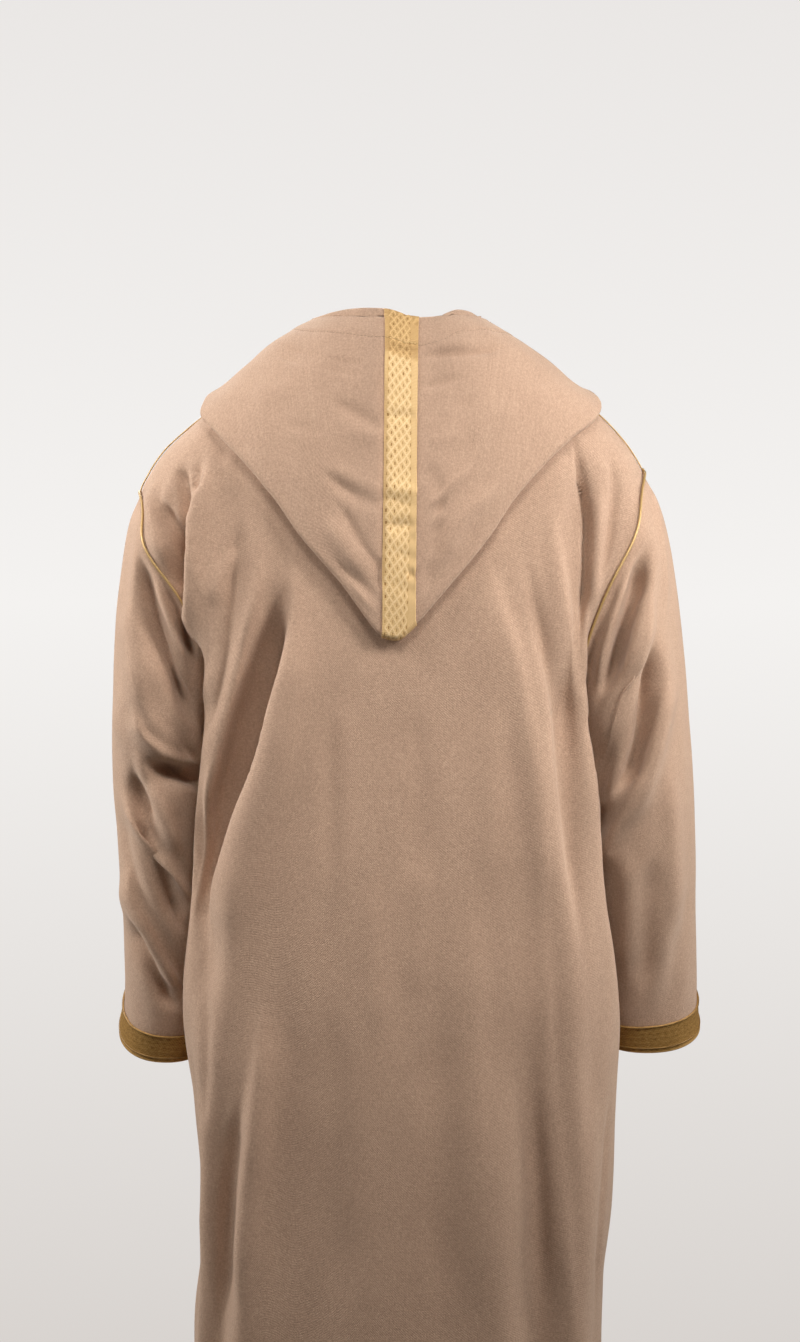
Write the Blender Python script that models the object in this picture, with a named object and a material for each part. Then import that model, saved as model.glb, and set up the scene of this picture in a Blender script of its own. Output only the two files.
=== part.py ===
"""Djellaba robe as worn, hollow, with its hood lying on the back.

Metres, +Z up. The front faces -Y and the wearer's left is +X. The origin is where the robe
rests on its wearer, midway between the two points where shoulder and neck meet.
Every cloth is a wall worked out from the sections and folds in the tables below.
"""

import math

import bpy
import numpy as np

# ---- cloth and seams
CLOTH = 0.0018
BRAID_THICK = 0.0011
SEAM_GAP = 0.0003
EDGE_BACK = 0.0003
PIPING_RADIUS = 0.0013
PIPING_LIFT = 0.0009
PIPING_SIDES = 6
PIPING_ENDS = 3
SHOULDER_PIPING = (0.12, 0.955)

# ---- main sizes
HEM_Z = -1.380
UNDERARM_Z = -0.372
CUFF_BRAID_WIDTH = 0.0290

# ---- body: one row per level. Half widths to the wearer's left and right, depth of back and
# front from the side line, how far the arm presses the side in, where along Y it presses, and
# how square the section is (2 is an ellipse).
BODY_SECTIONS = {
    "z": (0.050, 0.012, 0.000, -0.013, -0.033, -0.052, -0.068, -0.082, -0.108, -0.131,
          -0.147, -0.200, -0.260, -0.320, -0.372, -0.450, -0.550, -0.650, -0.750, -0.850,
          -0.980, -1.180, -1.380),
    "left": (0.060, 0.078, 0.100, 0.125, 0.150, 0.170, 0.190, 0.208, 0.236, 0.251,
             0.258, 0.260, 0.250, 0.236, 0.227, 0.224, 0.224, 0.222, 0.207, 0.200,
             0.205, 0.208, 0.211),
    "right": (0.060, 0.078, 0.100, 0.123, 0.150, 0.172, 0.195, 0.210, 0.231, 0.243,
              0.246, 0.245, 0.235, 0.220, 0.214, 0.213, 0.220, 0.224, 0.217, 0.213,
              0.202, 0.199, 0.202),
    "back": (0.052, 0.062, 0.070, 0.078, 0.087, 0.094, 0.099, 0.103, 0.109, 0.114,
             0.117, 0.123, 0.127, 0.128, 0.127, 0.126, 0.126, 0.127, 0.129, 0.131,
             0.135, 0.142, 0.150),
    "front": (0.050, 0.055, 0.062, 0.070, 0.080, 0.088, 0.094, 0.099, 0.106, 0.111,
              0.115, 0.122, 0.127, 0.130, 0.131, 0.133, 0.135, 0.138, 0.140, 0.143,
              0.147, 0.153, 0.160),
    "press": (0.00, 0.00, 0.00, 0.00, 0.00, 0.00, 0.00, 0.00, 0.00, 0.00,
              0.00, 0.02, 0.16, 0.295, 0.300, 0.29, 0.29, 0.28, 0.18, 0.06,
              0.00, 0.00, 0.00),
    "press_y": (0.00, 0.00, 0.00, 0.00, 0.00, 0.00, 0.00, 0.00, 0.00, 0.00,
                0.00, 0.00, 0.00, 0.00, 0.00, -0.012, -0.022, -0.045, -0.06, -0.06,
                0.00, 0.00, 0.00),
    "square": (2.2, 2.2, 2.2, 2.2, 2.2, 2.2, 2.2, 2.2, 2.2, 2.2,
               2.2, 2.3, 2.5, 2.7, 2.8, 2.9, 2.9, 2.9, 2.8, 2.6,
               2.4, 2.3, 2.3),
}
PRESS_REACH = 0.072

# ---- armholes: height of the shoulder point, half depth from front to back, and how far the
# seam bows outwards over its upper half and all along
ARMHOLES = {
    "left": {"way": 1.0, "top_z": -0.147, "depth": 0.083, "bow_top": 0.016, "bow": 0.000},
    "right": {"way": -1.0, "top_z": -0.128, "depth": 0.083, "bow_top": 0.009, "bow": 0.003},
}
BOW_TURN = math.radians(62.0)
BOW_REACH = math.radians(20.0)
ARMHOLE_STEPS = 10

# ---- neck edge, from the middle of the back round to the middle of the front
NECK_EDGE = {
    "angle": (0.0, 45.0, 90.0, 144.0, 159.0, 169.0, 177.5, 180.0),
    "z": (0.008, 0.009, 0.006, -0.010, -0.036, -0.066, -0.104, -0.112),
}

# ---- folds of the body: where each starts and ends (height, and angle round from the middle
# of the back, the wearer's left positive), half width, and height (a trough is negative)
FOLD_COLUMNS = ("z0", "angle0", "z1", "angle1", "half_width", "rise")
BODY_FOLDS = (
    (-0.230, 24.0, -0.560, 48.0, 0.020, -0.015),
    (-0.220, 21.0, -0.860, 56.0, 0.022, 0.010),
    (-0.190, 33.0, -0.400, 48.0, 0.016, 0.008),
    (-0.090, 46.0, -0.230, 50.0, 0.016, 0.005),
    (-0.060, -44.0, -0.330, -45.0, 0.016, -0.011),
    (-0.240, -32.0, -0.990, -50.0, 0.018, 0.006),
    (-0.280, -27.0, -0.860, -38.0, 0.016, -0.004),
    (-0.640, -30.0, -1.380, -52.0, 0.020, -0.009),
    (-0.640, -21.0, -1.380, -33.0, 0.022, 0.009),
    (-0.700, -48.0, -1.380, -68.0, 0.018, 0.006),
    (-0.620, 52.0, -1.380, 76.0, 0.018, 0.007),
    (-0.640, 45.0, -1.380, 66.0, 0.018, -0.008),
    (-0.640, 35.0, -1.380, 56.0, 0.020, 0.009),
    (-0.560, 9.0, -1.380, 10.0, 0.028, 0.005),
    (-0.660, 24.0, -1.380, 32.0, 0.024, -0.007),
    (-0.760, -8.0, -1.380, -10.0, 0.026, -0.006),
    (-0.900, 92.0, -1.380, 92.0, 0.020, -0.009),
    (-0.900, -90.0, -1.380, -90.0, 0.018, -0.008),
    (-0.400, 118.0, -1.380, 112.0, 0.022, 0.010),
    (-0.450, 136.0, -1.380, 131.0, 0.022, -0.012),
    (-0.500, 152.0, -1.380, 150.0, 0.022, 0.010),
    (-0.600, 168.0, -1.380, 168.0, 0.020, -0.009),
    (-0.500, 184.0, -1.380, 186.0, 0.024, 0.009),
    (-0.650, 201.0, -1.380, 204.0, 0.020, -0.010),
    (-0.450, 218.0, -1.380, 223.0, 0.022, 0.010),
    (-0.400, 236.0, -1.380, 242.0, 0.022, -0.010),
)
FOLD_RADIUS = 0.185
FOLD_FADE = 0.16

# ---- sleeves: one entry per section below the armhole. Outermost and innermost point, backmost
# and frontmost Y, and how far the section tips up towards the front, in degrees
SLEEVE_COLUMNS = ("out_x", "out_z", "in_x", "in_z", "back_y", "front_y", "tilt")
SLEEVES = {
    "left": {
        "out_x": (0.2690, 0.2775, 0.2845, 0.2875, 0.2880, 0.2865, 0.2840,
                  0.2815, 0.2795, 0.2790, 0.2805, 0.2835, 0.2850),
        "out_z": (-0.1760, -0.2200, -0.2720, -0.3280, -0.3850, -0.4400, -0.4900,
                  -0.5380, -0.5850, -0.6260, -0.6560, -0.6760, -0.6870),
        "in_x": (0.1720, 0.1770, 0.1790, 0.1800, 0.1810, 0.1830, 0.1850,
                 0.1860, 0.1865, 0.1870, 0.1875, 0.1880, 0.1880),
        "in_z": (-0.3860, -0.4010, -0.4190, -0.4410, -0.4680, -0.5000, -0.5340,
                 -0.5690, -0.6040, -0.6370, -0.6620, -0.6800, -0.6900),
        "back_y": (0.0820, 0.0790, 0.0750, 0.0710, 0.0660, 0.0610, 0.0550,
                   0.0460, 0.0340, 0.0220, 0.0130, 0.0060, 0.0030),
        "front_y": (-0.0840, -0.0860, -0.0885, -0.0915, -0.0950, -0.0990, -0.1040,
                    -0.1100, -0.1170, -0.1240, -0.1300, -0.1350, -0.1370),
        "tilt": (1.0, 3.0, 5.0, 8.0, 11.0, 14.0, 17.0, 19.0, 20.5, 21.5, 22.0, 22.0, 22.0),
    },
    "right": {
        "out_x": (0.2585, 0.2705, 0.2790, 0.2855, 0.2900, 0.2930, 0.2955,
                  0.2970, 0.2985, 0.3000, 0.3015, 0.3030, 0.3045),
        "out_z": (-0.1610, -0.2060, -0.2590, -0.3160, -0.3740, -0.4300, -0.4810,
                  -0.5300, -0.5780, -0.6200, -0.6520, -0.6730, -0.6840),
        "in_x": (0.1620, 0.1670, 0.1720, 0.1755, 0.1790, 0.1815, 0.1840,
                 0.1860, 0.1875, 0.1890, 0.1900, 0.1920, 0.1930),
        "in_z": (-0.3860, -0.4010, -0.4190, -0.4410, -0.4680, -0.4990, -0.5320,
                 -0.5660, -0.6000, -0.6320, -0.6570, -0.6750, -0.6850),
        "back_y": (0.0820, 0.0790, 0.0750, 0.0710, 0.0660, 0.0610, 0.0550,
                   0.0460, 0.0340, 0.0220, 0.0130, 0.0060, 0.0030),
        "front_y": (-0.0840, -0.0860, -0.0885, -0.0915, -0.0950, -0.0990, -0.1040,
                    -0.1100, -0.1170, -0.1240, -0.1300, -0.1350, -0.1370),
        "tilt": (1.0, 3.0, 5.0, 8.0, 10.5, 12.5, 14.5, 16.0, 17.0, 18.0, 18.0, 18.0, 18.0),
    },
}
# folds of the sleeves: start and end as a share of the length and an angle round from the
# outermost point (the back is 90), half width and rise
SLEEVE_FOLDS = {
    "left": (
        (0.12, 100.0, 0.40, 40.0, 0.020, 0.006),
        (0.30, 125.0, 0.50, 60.0, 0.018, -0.008),
        (0.55, 60.0, 0.66, 130.0, 0.018, 0.007),
        (0.60, 40.0, 0.85, 120.0, 0.018, -0.006),
    ),
    "right": (
        (0.10, 70.0, 0.42, 125.0, 0.018, 0.007),
        (0.22, 95.0, 0.48, 140.0, 0.018, -0.009),
        (0.36, 60.0, 0.56, 125.0, 0.018, 0.007),
        (0.75, 40.0, 0.98, 80.0, 0.022, -0.005),
    ),
}
SLEEVE_RINGS = 17
SLEEVE_SQUARE = 0.90
SLEEVE_BLEND = 0.3
SLEEVE_LENGTH = 0.55
SLEEVE_RADIUS = 0.07
CALM_TOP = 0.08
CALM_CUFF = 0.10
CUFF_RINGS = 2

# ---- hood: one row per column from the middle of the front on the wearer's left, over the
# left shoulder, across the back and round to the front again. Where it is folded (angle,
# height) and where its opening edge lies (angle, height), and how far that edge stands off.
HOOD_COLUMNS = {
    "place": (0, 3, 6, 8, 9, 10, 11, 12, 13, 14, 15, 16, 17,
              18, 19, 20, 21, 22, 23, 24, 25, 26, 28, 31, 34),
    "fold_angle": (178.2, 150.0, 115.0, 90.0, 76.0, 64.0, 52.0, 40.0, 28.5, 20.5, 13.0, 3.9, 0.8,
                   -3.6, -10.5, -19.2, -26.5, -35.0, -46.6, -56.0, -66.0, -90.0, -115.0,
                   -150.0, -178.2),
    "fold_z": (-0.138, -0.082, -0.062, -0.060, -0.066, -0.0785, -0.090, -0.110, -0.1462,
               -0.193, -0.234, -0.2881, -0.2905,
               -0.2767, -0.243, -0.1952, -0.150, -0.119, -0.0946, -0.084, -0.074, -0.057,
               -0.060, -0.082, -0.138),
    "edge_angle": (178.0, 150.0, 120.0, 100.0, 88.0, 76.0, 66.0, 56.0, 46.0, 35.0, 23.0, 10.4,
                   -0.5, -11.1, -20.0, -30.0, -40.0, -49.0, -58.0, -68.0, -80.0, -100.0,
                   -120.0, -150.0, -178.0),
    "edge_z": (-0.092, -0.004, 0.010, 0.014, 0.015, 0.015, 0.014, 0.015, 0.0177, 0.0208,
               0.0222, 0.0216, 0.0167,
               0.0071, 0.0078, 0.0160, 0.0205, 0.0197, 0.0135, 0.012, 0.011, 0.010, 0.008,
               -0.004, -0.092),
    "stand_off": (0.007, 0.009, 0.011, 0.013, 0.014, 0.015, 0.016, 0.017, 0.018, 0.018, 0.018,
                  0.018, 0.018, 0.018, 0.018, 0.018, 0.018, 0.017, 0.016, 0.015, 0.014, 0.013,
                  0.011, 0.009, 0.007),
}
BRAID_COLUMNS = (16, 18)
HOOD_UNDER_SHARES = (0.0, 0.05, 0.11, 0.19, 0.30, 0.44, 0.62, 0.80, 1.0)
HOOD_FOLD_ROWS = 3
HOOD_OUTER_ROWS = 13
HOOD_CLEAR = 0.0042
HOOD_RIDGE_CLEAR = 0.0058
HOOD_FOLD_RADIUS = 0.0042
HOOD_BELLY = 0.006

# ---- grids
BACK_COLUMNS = 32
FRONT_COLUMNS = 24
YOKE_LEVELS = (0.0, 0.16, 0.34, 0.54, 0.76, 1.0)
SKIRT_LEVELS = (-0.372, -0.395, -0.425, -0.465, -0.510, -0.560, -0.615, -0.670, -0.725, -0.785,
                -0.845, -0.905, -0.970, -1.040, -1.110, -1.180, -1.250, -1.315, -1.380)

# ---- colours: name, red, green, blue, roughness
CLOTHS = {
    "taupe_wool": (0.403, 0.271, 0.190, 0.92),
    "gold_braid": (0.520, 0.331, 0.120, 0.50),
    "gold_piping": (0.560, 0.356, 0.124, 0.50),
}

STEP = 1e-3


def smooth(knots, values, at):
    """A smooth curve through a short column of values, without overshoot."""
    knots = np.asarray(knots, float)
    values = np.asarray(values, float)
    if knots[0] > knots[-1]:
        knots = knots[::-1]
        values = values[::-1]
    span = np.diff(knots)
    slope = np.diff(values) / span
    tangent = np.concatenate([slope[:1], np.zeros(len(slope) - 1), slope[-1:]])
    both = slope[1:] * slope[:-1]
    mean = 2.0 * both / np.where(both > 0.0, slope[1:] + slope[:-1], 1.0)
    tangent[1:-1] = np.where(both > 0.0, mean, 0.0)
    at = np.clip(np.asarray(at, float), knots[0], knots[-1])
    place = np.clip(np.searchsorted(knots, at) - 1, 0, len(span) - 1)
    t = (at - knots[place]) / span[place]
    first = values[place] * (1 + 2 * t) * (1 - t) ** 2
    second = values[place + 1] * t * t * (3 - 2 * t)
    pull = tangent[place] * t * (1 - t) ** 2 - tangent[place + 1] * t * t * (1 - t)
    return first + second + pull * span[place]


def ease(value):
    """0 up to 0, 1 from 1, smooth between."""
    t = np.clip(value, 0.0, 1.0)
    return t * t * (3.0 - 2.0 * t)


def power(value, exponent):
    return np.sign(value) * np.abs(value) ** exponent


def unit(vectors):
    return vectors / np.maximum(np.linalg.norm(vectors, axis=-1, keepdims=True), 1e-12)


def section(column, z):
    return smooth(BODY_SECTIONS["z"], BODY_SECTIONS[column], z)


def bare_body(angle, z):
    """The body without folds, at an angle round from the middle of the back and a height."""
    side = np.sin(angle)
    facing = np.cos(angle)
    wide = np.where(side > 0.0, section("left", z), section("right", z))
    deep = np.where(facing > 0.0, section("back", z), section("front", z))
    square = section("square", z)
    reach = (np.abs(side) ** square + np.abs(facing) ** square) ** (-1.0 / square)
    y = deep * reach * facing
    pressed = section("press", z) * np.exp(-((y - section("press_y", z)) / PRESS_REACH) ** 4)
    x = wide * reach * side * (1.0 - pressed)
    return np.stack([x, y, z + np.zeros_like(x)], axis=-1)


def bare_normal(angle, z):
    """Outward direction of the body without folds."""
    around = bare_body(angle + STEP, z) - bare_body(angle - STEP, z)
    down = bare_body(angle, z - STEP) - bare_body(angle, z + STEP)
    return unit(np.cross(around, down))


def fold_rise(angle, z):
    """How far the folds stand out or sink in."""
    rise = np.zeros(np.broadcast(angle, z).shape)
    for z0, angle0, z1, angle1, half_width, height in BODY_FOLDS:
        along = (z0 - z) / (z0 - z1)
        centre = np.radians(angle0 + (angle1 - angle0) * np.clip(along, 0.0, 1.0))
        away = (angle - centre + math.pi) % (2 * math.pi) - math.pi
        shape = np.exp(-((away * FOLD_RADIUS / half_width) ** 2))
        starts = ease((z0 - z) / FOLD_FADE)
        ends = 1.0 if z1 <= HEM_Z else ease((z - z1) / FOLD_FADE + 1.0)
        rise = rise + height * shape * starts * ends
    return rise


def armhole_ends(side):
    """Shoulder point and underarm point: x and z of each, on the wearer's own side."""
    top_z = ARMHOLES[side]["top_z"]
    under_x = section(side, UNDERARM_Z) * (1.0 - section("press", UNDERARM_Z))
    return float(section(side, top_z)), top_z, float(under_x), UNDERARM_Z


def armhole_bow(side, turn):
    """How far the armhole seam bows outwards from a straight line."""
    upper = np.exp(-((np.arccos(np.cos(turn)) - BOW_TURN) / BOW_REACH) ** 2)
    return ARMHOLES[side]["bow_top"] * upper + ARMHOLES[side]["bow"] * np.abs(np.sin(turn))


def armhole_point(side, turn):
    """A point of the armhole; turn runs from the shoulder point over the back."""
    hole = ARMHOLES[side]
    top_x, top_z, under_x, under_z = armhole_ends(side)
    x = 0.5 * (top_x + under_x) + 0.5 * (top_x - under_x) * np.cos(turn)
    y = hole["depth"] * np.sin(turn)
    z = 0.5 * (top_z + under_z) + 0.5 * (top_z - under_z) * np.cos(turn)
    return np.stack([hole["way"] * (x + armhole_bow(side, turn)), y, z], axis=-1)


YOKE_END = 1.0
ARMHOLE_END = 2.0


def armhole_turn(level):
    return math.pi * np.clip(level - YOKE_END, 0.0, 1.0)


def edge_z(side, level, neck_z):
    """Height of a panel's side edge: the shoulder seam, the armhole, then the side seam."""
    hole = ARMHOLES[side]
    yoke = neck_z + (hole["top_z"] - neck_z) * np.clip(level, 0.0, 1.0)
    arm = armhole_point(side, armhole_turn(level))[..., 2]
    skirt = UNDERARM_Z + (HEM_Z - UNDERARM_Z) * (level - ARMHOLE_END)
    return np.where(level <= YOKE_END, yoke, np.where(level <= ARMHOLE_END, arm, skirt))


def panel_z(side, across, level, neck_z):
    """Height inside a panel: as its side edge near that edge, evenly spread further in."""
    edge = edge_z(side, level, neck_z)
    top = ARMHOLES[side]["top_z"]
    even = top + (UNDERARM_Z - top) * np.clip(level - YOKE_END, 0.0, 1.0)
    inside = (level > YOKE_END) & (level < ARMHOLE_END)
    near = ease((np.abs(across) - 0.25) / 0.75)
    return np.where(inside, even + (edge - even) * near, edge)


def edge_turned(side, level, facing):
    """How far round the panel's side edge lies, as an angle from the panel's own middle."""
    point = armhole_point(side, armhole_turn(level))
    square = section("square", point[..., 2])
    deep = section("back" if facing > 0 else "front", point[..., 2])
    share_y = np.clip(point[..., 1] / deep, 0.0, 1.0)
    turned = np.arctan2((1.0 - share_y ** square) ** (1.0 / square), share_y)
    inside = (level > YOKE_END) & (level < ARMHOLE_END)
    return np.where(inside, turned, 0.5 * math.pi)


def panel_point(facing, across, level):
    """A point of the back (facing 1) or the front (facing -1). Across runs from -1 on the
    wearer's right to 1 on the left, level from the neck through the armhole to the hem."""
    across, level = np.broadcast_arrays(np.asarray(across, float), np.asarray(level, float))
    left_share = 0.5 * (1.0 + np.clip(across, -1.0, 1.0))
    turned = np.where(across > 0.0, edge_turned("left", level, facing),
                      edge_turned("right", level, facing))
    turned = 1.0 - turned / (0.5 * math.pi)
    own_angle = 0.5 * math.pi * across * (1.0 - np.abs(across) * turned)
    neck_angle = np.degrees(np.abs(across) * 0.5 * math.pi)
    if facing < 0:
        neck_angle = 180.0 - neck_angle
    neck_z = smooth(NECK_EDGE["angle"], NECK_EDGE["z"], neck_angle)
    z = (panel_z("left", across, level, neck_z) * left_share
         + panel_z("right", across, level, neck_z) * (1.0 - left_share))
    angle = own_angle if facing > 0 else math.pi - own_angle
    point = bare_body(angle, z)
    inside = (level > YOKE_END) & (level < ARMHOLE_END)
    near = ease((np.abs(across) - 0.45) / 0.55)
    for side, way in (("left", 1.0), ("right", -1.0)):
        hole = armhole_point(side, armhole_turn(level))
        hole[..., 1] *= facing
        end_angle = way * edge_turned(side, level, facing)
        end_angle = end_angle if facing > 0 else math.pi - end_angle
        shift = hole - bare_body(end_angle, hole[..., 2])
        share = np.where(inside & (way * across > 0.0), near, 0.0)
        point = point + shift * share[..., None]
    calm = 1.0 - ease((np.abs(across) - 0.50) / 0.35) * ease((ARMHOLE_END + 0.09 - level) / 0.10)
    outward = bare_normal(angle, z)
    outward[..., 2] = 0.0
    return point + unit(outward) * (fold_rise(angle, z) * calm)[..., None]


def panel_normal(facing, across, level):
    around = (panel_point(facing, across + STEP, level)
              - panel_point(facing, across - STEP, level))
    down = (panel_point(facing, across, level + STEP)
            - panel_point(facing, across, level - STEP))
    return unit(np.cross(around, down)) * facing


def sleeve_table(side):
    """The sleeve's sections with the armhole put first, and how far along each one lies."""
    depth = ARMHOLES[side]["depth"]
    first = (*armhole_ends(side), depth, -depth, 0.0)
    table = {column: (start, *SLEEVES[side][column])
             for column, start in zip(SLEEVE_COLUMNS, first)}
    runs = np.hypot(np.diff(table["out_x"]), np.diff(table["out_z"]))
    return np.concatenate([[0.0], np.cumsum(runs)]), table


def sleeve_point(side, turn, along):
    """A point of a sleeve; along runs from 0 at the armhole to 1 at the cuff."""
    knots, table = sleeve_table(side)
    knots = knots / knots[-1]
    out_x, out_z, in_x, in_z, back_y, front_y, tilt = (
        smooth(knots, table[column], along) for column in SLEEVE_COLUMNS
    )
    square = 1.0 + (SLEEVE_SQUARE - 1.0) * ease(along / SLEEVE_BLEND)
    across = power(np.cos(turn), square)
    depth = power(np.sin(turn), square)
    middle_y = 0.5 * (back_y + front_y)
    half_y = 0.5 * (back_y - front_y)
    x = 0.5 * (out_x + in_x) + 0.5 * (out_x - in_x) * across
    x = x + armhole_bow(side, turn) * (1.0 - ease(along / SLEEVE_BLEND))
    z = 0.5 * (out_z + in_z) + 0.5 * (out_z - in_z) * across
    y = middle_y + half_y * depth
    z = z - half_y * depth * np.tan(np.radians(tilt))
    point = np.stack([ARMHOLES[side]["way"] * x, y, z + np.zeros_like(x)], axis=-1)
    outward = np.stack([ARMHOLES[side]["way"] * np.cos(turn) + np.zeros_like(x),
                        np.sin(turn) + np.zeros_like(x), np.zeros_like(x)], axis=-1)
    rise = np.zeros(x.shape)
    for along0, turn0, along1, turn1, half_width, height in SLEEVE_FOLDS[side]:
        run = np.clip((along - along0) / (along1 - along0), 0.0, 1.0)
        centre = turn0 + (turn1 - turn0) * run
        away = (np.degrees(turn) - centre + 180.0) % 360.0 - 180.0
        off_end = np.maximum(np.maximum(along0 - along, along - along1), 0.0) * SLEEVE_LENGTH
        distance = np.hypot(np.radians(away) * SLEEVE_RADIUS, off_end)
        rise = rise + height * np.exp(-((distance / half_width) ** 2))
    rise = rise * ease(along / CALM_TOP) * ease((1.0 - along) / CALM_CUFF)
    return point + outward * rise[..., None]


def sleeve_normal(side, turn, along):
    around = sleeve_point(side, turn + STEP, along) - sleeve_point(side, turn - STEP, along)
    on = sleeve_point(side, turn, along + STEP) - sleeve_point(side, turn, along - STEP)
    return unit(np.cross(on, around)) * ARMHOLES[side]["way"]


def hood_column(column, places):
    return smooth(HOOD_COLUMNS["place"], HOOD_COLUMNS[column], places)


def off_body(angle, z, lift):
    return bare_body(angle, z) + bare_normal(angle, z) * np.asarray(lift)[..., None]


def hood_angle(angle0, z0, angle1, z1, share):
    """Angle on the way between two points: straight across the back, round at the sides."""
    turned = angle0 + (angle1 - angle0) * share
    x0 = bare_body(angle0, z0)[..., 0]
    x1 = bare_body(angle1, z1)[..., 0]
    z = z0 + (z1 - z0) * share
    x = x0 + (x1 - x0) * share
    wide = np.where(x > 0.0, section("left", z), section("right", z))
    share_x = np.clip(x / wide, -1.0, 1.0)
    square = section("square", z)
    share_y = (1.0 - np.abs(share_x) ** square) ** (1.0 / square)
    straight = np.arctan2(share_x, share_y)
    on_back = ease((math.radians(80.0) - np.abs(angle0)) / math.radians(35.0))
    return turned + (straight - turned) * on_back


def hood_grid():
    """The middle of the hood's wall, from the neck seam down, round the fold and up again."""
    places = np.arange(HOOD_COLUMNS["place"][-1] + 1, dtype=float)
    fold_angle = np.radians(hood_column("fold_angle", places))
    fold_z = hood_column("fold_z", places)
    edge_angle = np.radians(hood_column("edge_angle", places))
    edge_height = hood_column("edge_z", places)
    stand_off = hood_column("stand_off", places)
    neck_height = smooth(NECK_EDGE["angle"], NECK_EDGE["z"], np.abs(np.degrees(edge_angle)))
    ridge = np.exp(-((np.abs(fold_angle) - 0.5 * math.pi) / 0.45) ** 2)
    ridge_neck = np.exp(-((np.abs(edge_angle) - 0.5 * math.pi) / 0.45) ** 2)
    rows = []
    for share in HOOD_UNDER_SHARES:
        height = neck_height + (fold_z - neck_height) * share
        angle = hood_angle(edge_angle, neck_height, fold_angle, fold_z, share)
        over_seam = ridge_neck + (ridge - ridge_neck) * share
        clear = HOOD_CLEAR + (HOOD_RIDGE_CLEAR - HOOD_CLEAR) * over_seam * ease(share / 0.1)
        clear = clear - (HOOD_CLEAR - 2 * SEAM_GAP - 0.5 * CLOTH) * max(1.0 - share / 0.08, 0.0)
        rows.append(off_body(angle, height, clear))
    under = HOOD_CLEAR + (HOOD_RIDGE_CLEAR - HOOD_CLEAR) * ridge
    start = off_body(fold_angle, fold_z, under)
    down = unit(start - rows[-2])
    outward = bare_normal(fold_angle, fold_z)
    for number in range(1, HOOD_FOLD_ROWS + 1):
        bend = math.pi * number / (HOOD_FOLD_ROWS + 1)
        rows.append(start + outward * (HOOD_FOLD_RADIUS * (1.0 - math.cos(bend)))
                    + down * (HOOD_FOLD_RADIUS * math.sin(bend)))
    folded = under + 2.0 * HOOD_FOLD_RADIUS
    for share in np.linspace(0.0, 1.0, HOOD_OUTER_ROWS + 1):
        height = fold_z + (edge_height - fold_z) * share
        angle = hood_angle(fold_angle, fold_z, edge_angle, edge_height, share)
        lift = folded + (stand_off - folded) * share
        middle = 4.0 * share * (1.0 - share)
        lift = lift + HOOD_BELLY * middle * (np.exp(-(angle / 1.2) ** 2) - ridge)
        rows.append(off_body(angle, height, lift))
    return np.array(rows)


def grid_normal(grid):
    """Directions at right angles to a grid of points."""
    return unit(np.cross(np.gradient(grid, axis=0), np.gradient(grid, axis=1)))


def add_object(name, cloth, points, faces):
    mesh = bpy.data.meshes.new(name)
    mesh.from_pydata([tuple(p) for p in points], [], faces)
    mesh.materials.append(material(cloth))
    mesh.validate()
    obj = bpy.data.objects.new(name, mesh)
    robe.objects.link(obj)
    return obj


def material(cloth):
    made = bpy.data.materials.get(cloth)
    if made:
        return made
    red, green, blue, rough = CLOTHS[cloth]
    made = bpy.data.materials.new(cloth)
    made.use_nodes = True
    shader = made.node_tree.nodes["Principled BSDF"]
    shader.inputs["Base Color"].default_value = (red, green, blue, 1.0)
    shader.inputs["Roughness"].default_value = rough
    shader.inputs["Metallic"].default_value = 0.0
    made.diffuse_color = (red, green, blue, 1.0)
    return made


def wall(name, cloth, outer, inner, closed=False, lies_on=None):
    """A closed wall between an outer and an inner grid of points; closed grids run round. Each
    square is split along its shorter diagonal, or as that of the grid that it lies on."""
    rows, columns = outer.shape[:2]
    points = np.concatenate([outer.reshape(-1, 3), inner.reshape(-1, 3)])
    base = (outer if lies_on is None else lies_on).reshape(-1, 3)
    back = rows * columns
    faces = []

    def quad(a, b, c, d):
        faces.append((a, b, c))
        faces.append((a, c, d))

    def panes(a, b, c, d):
        if np.linalg.norm(base[a] - base[c]) <= np.linalg.norm(base[b] - base[d]):
            quad(a, b, c, d)
            quad(back + a, back + d, back + c, back + b)
            return
        quad(b, c, d, a)
        quad(back + b, back + a, back + d, back + c)

    spans = columns if closed else columns - 1
    for row in range(rows - 1):
        for column in range(spans):
            right = (column + 1) % columns
            a, b = row * columns + column, row * columns + right
            c, d = b + columns, a + columns
            panes(a, b, c, d)
    for column in range(spans):
        right = (column + 1) % columns
        quad(back + column, back + right, right, column)
        last = (rows - 1) * columns
        quad(last + column, last + right, back + last + right, back + last + column)
    if not closed:
        for row in range(rows - 1):
            a, d = row * columns, (row + 1) * columns
            quad(a, d, back + d, back + a)
            b, c = a + columns - 1, d + columns - 1
            quad(back + b, back + c, c, b)
    volume = 0.0
    for a, b, c in faces:
        volume += float(np.dot(points[a], np.cross(points[b], points[c])))
    if volume < 0.0:
        faces = [face[::-1] for face in faces]
    return add_object(name, cloth, points, faces)


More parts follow.
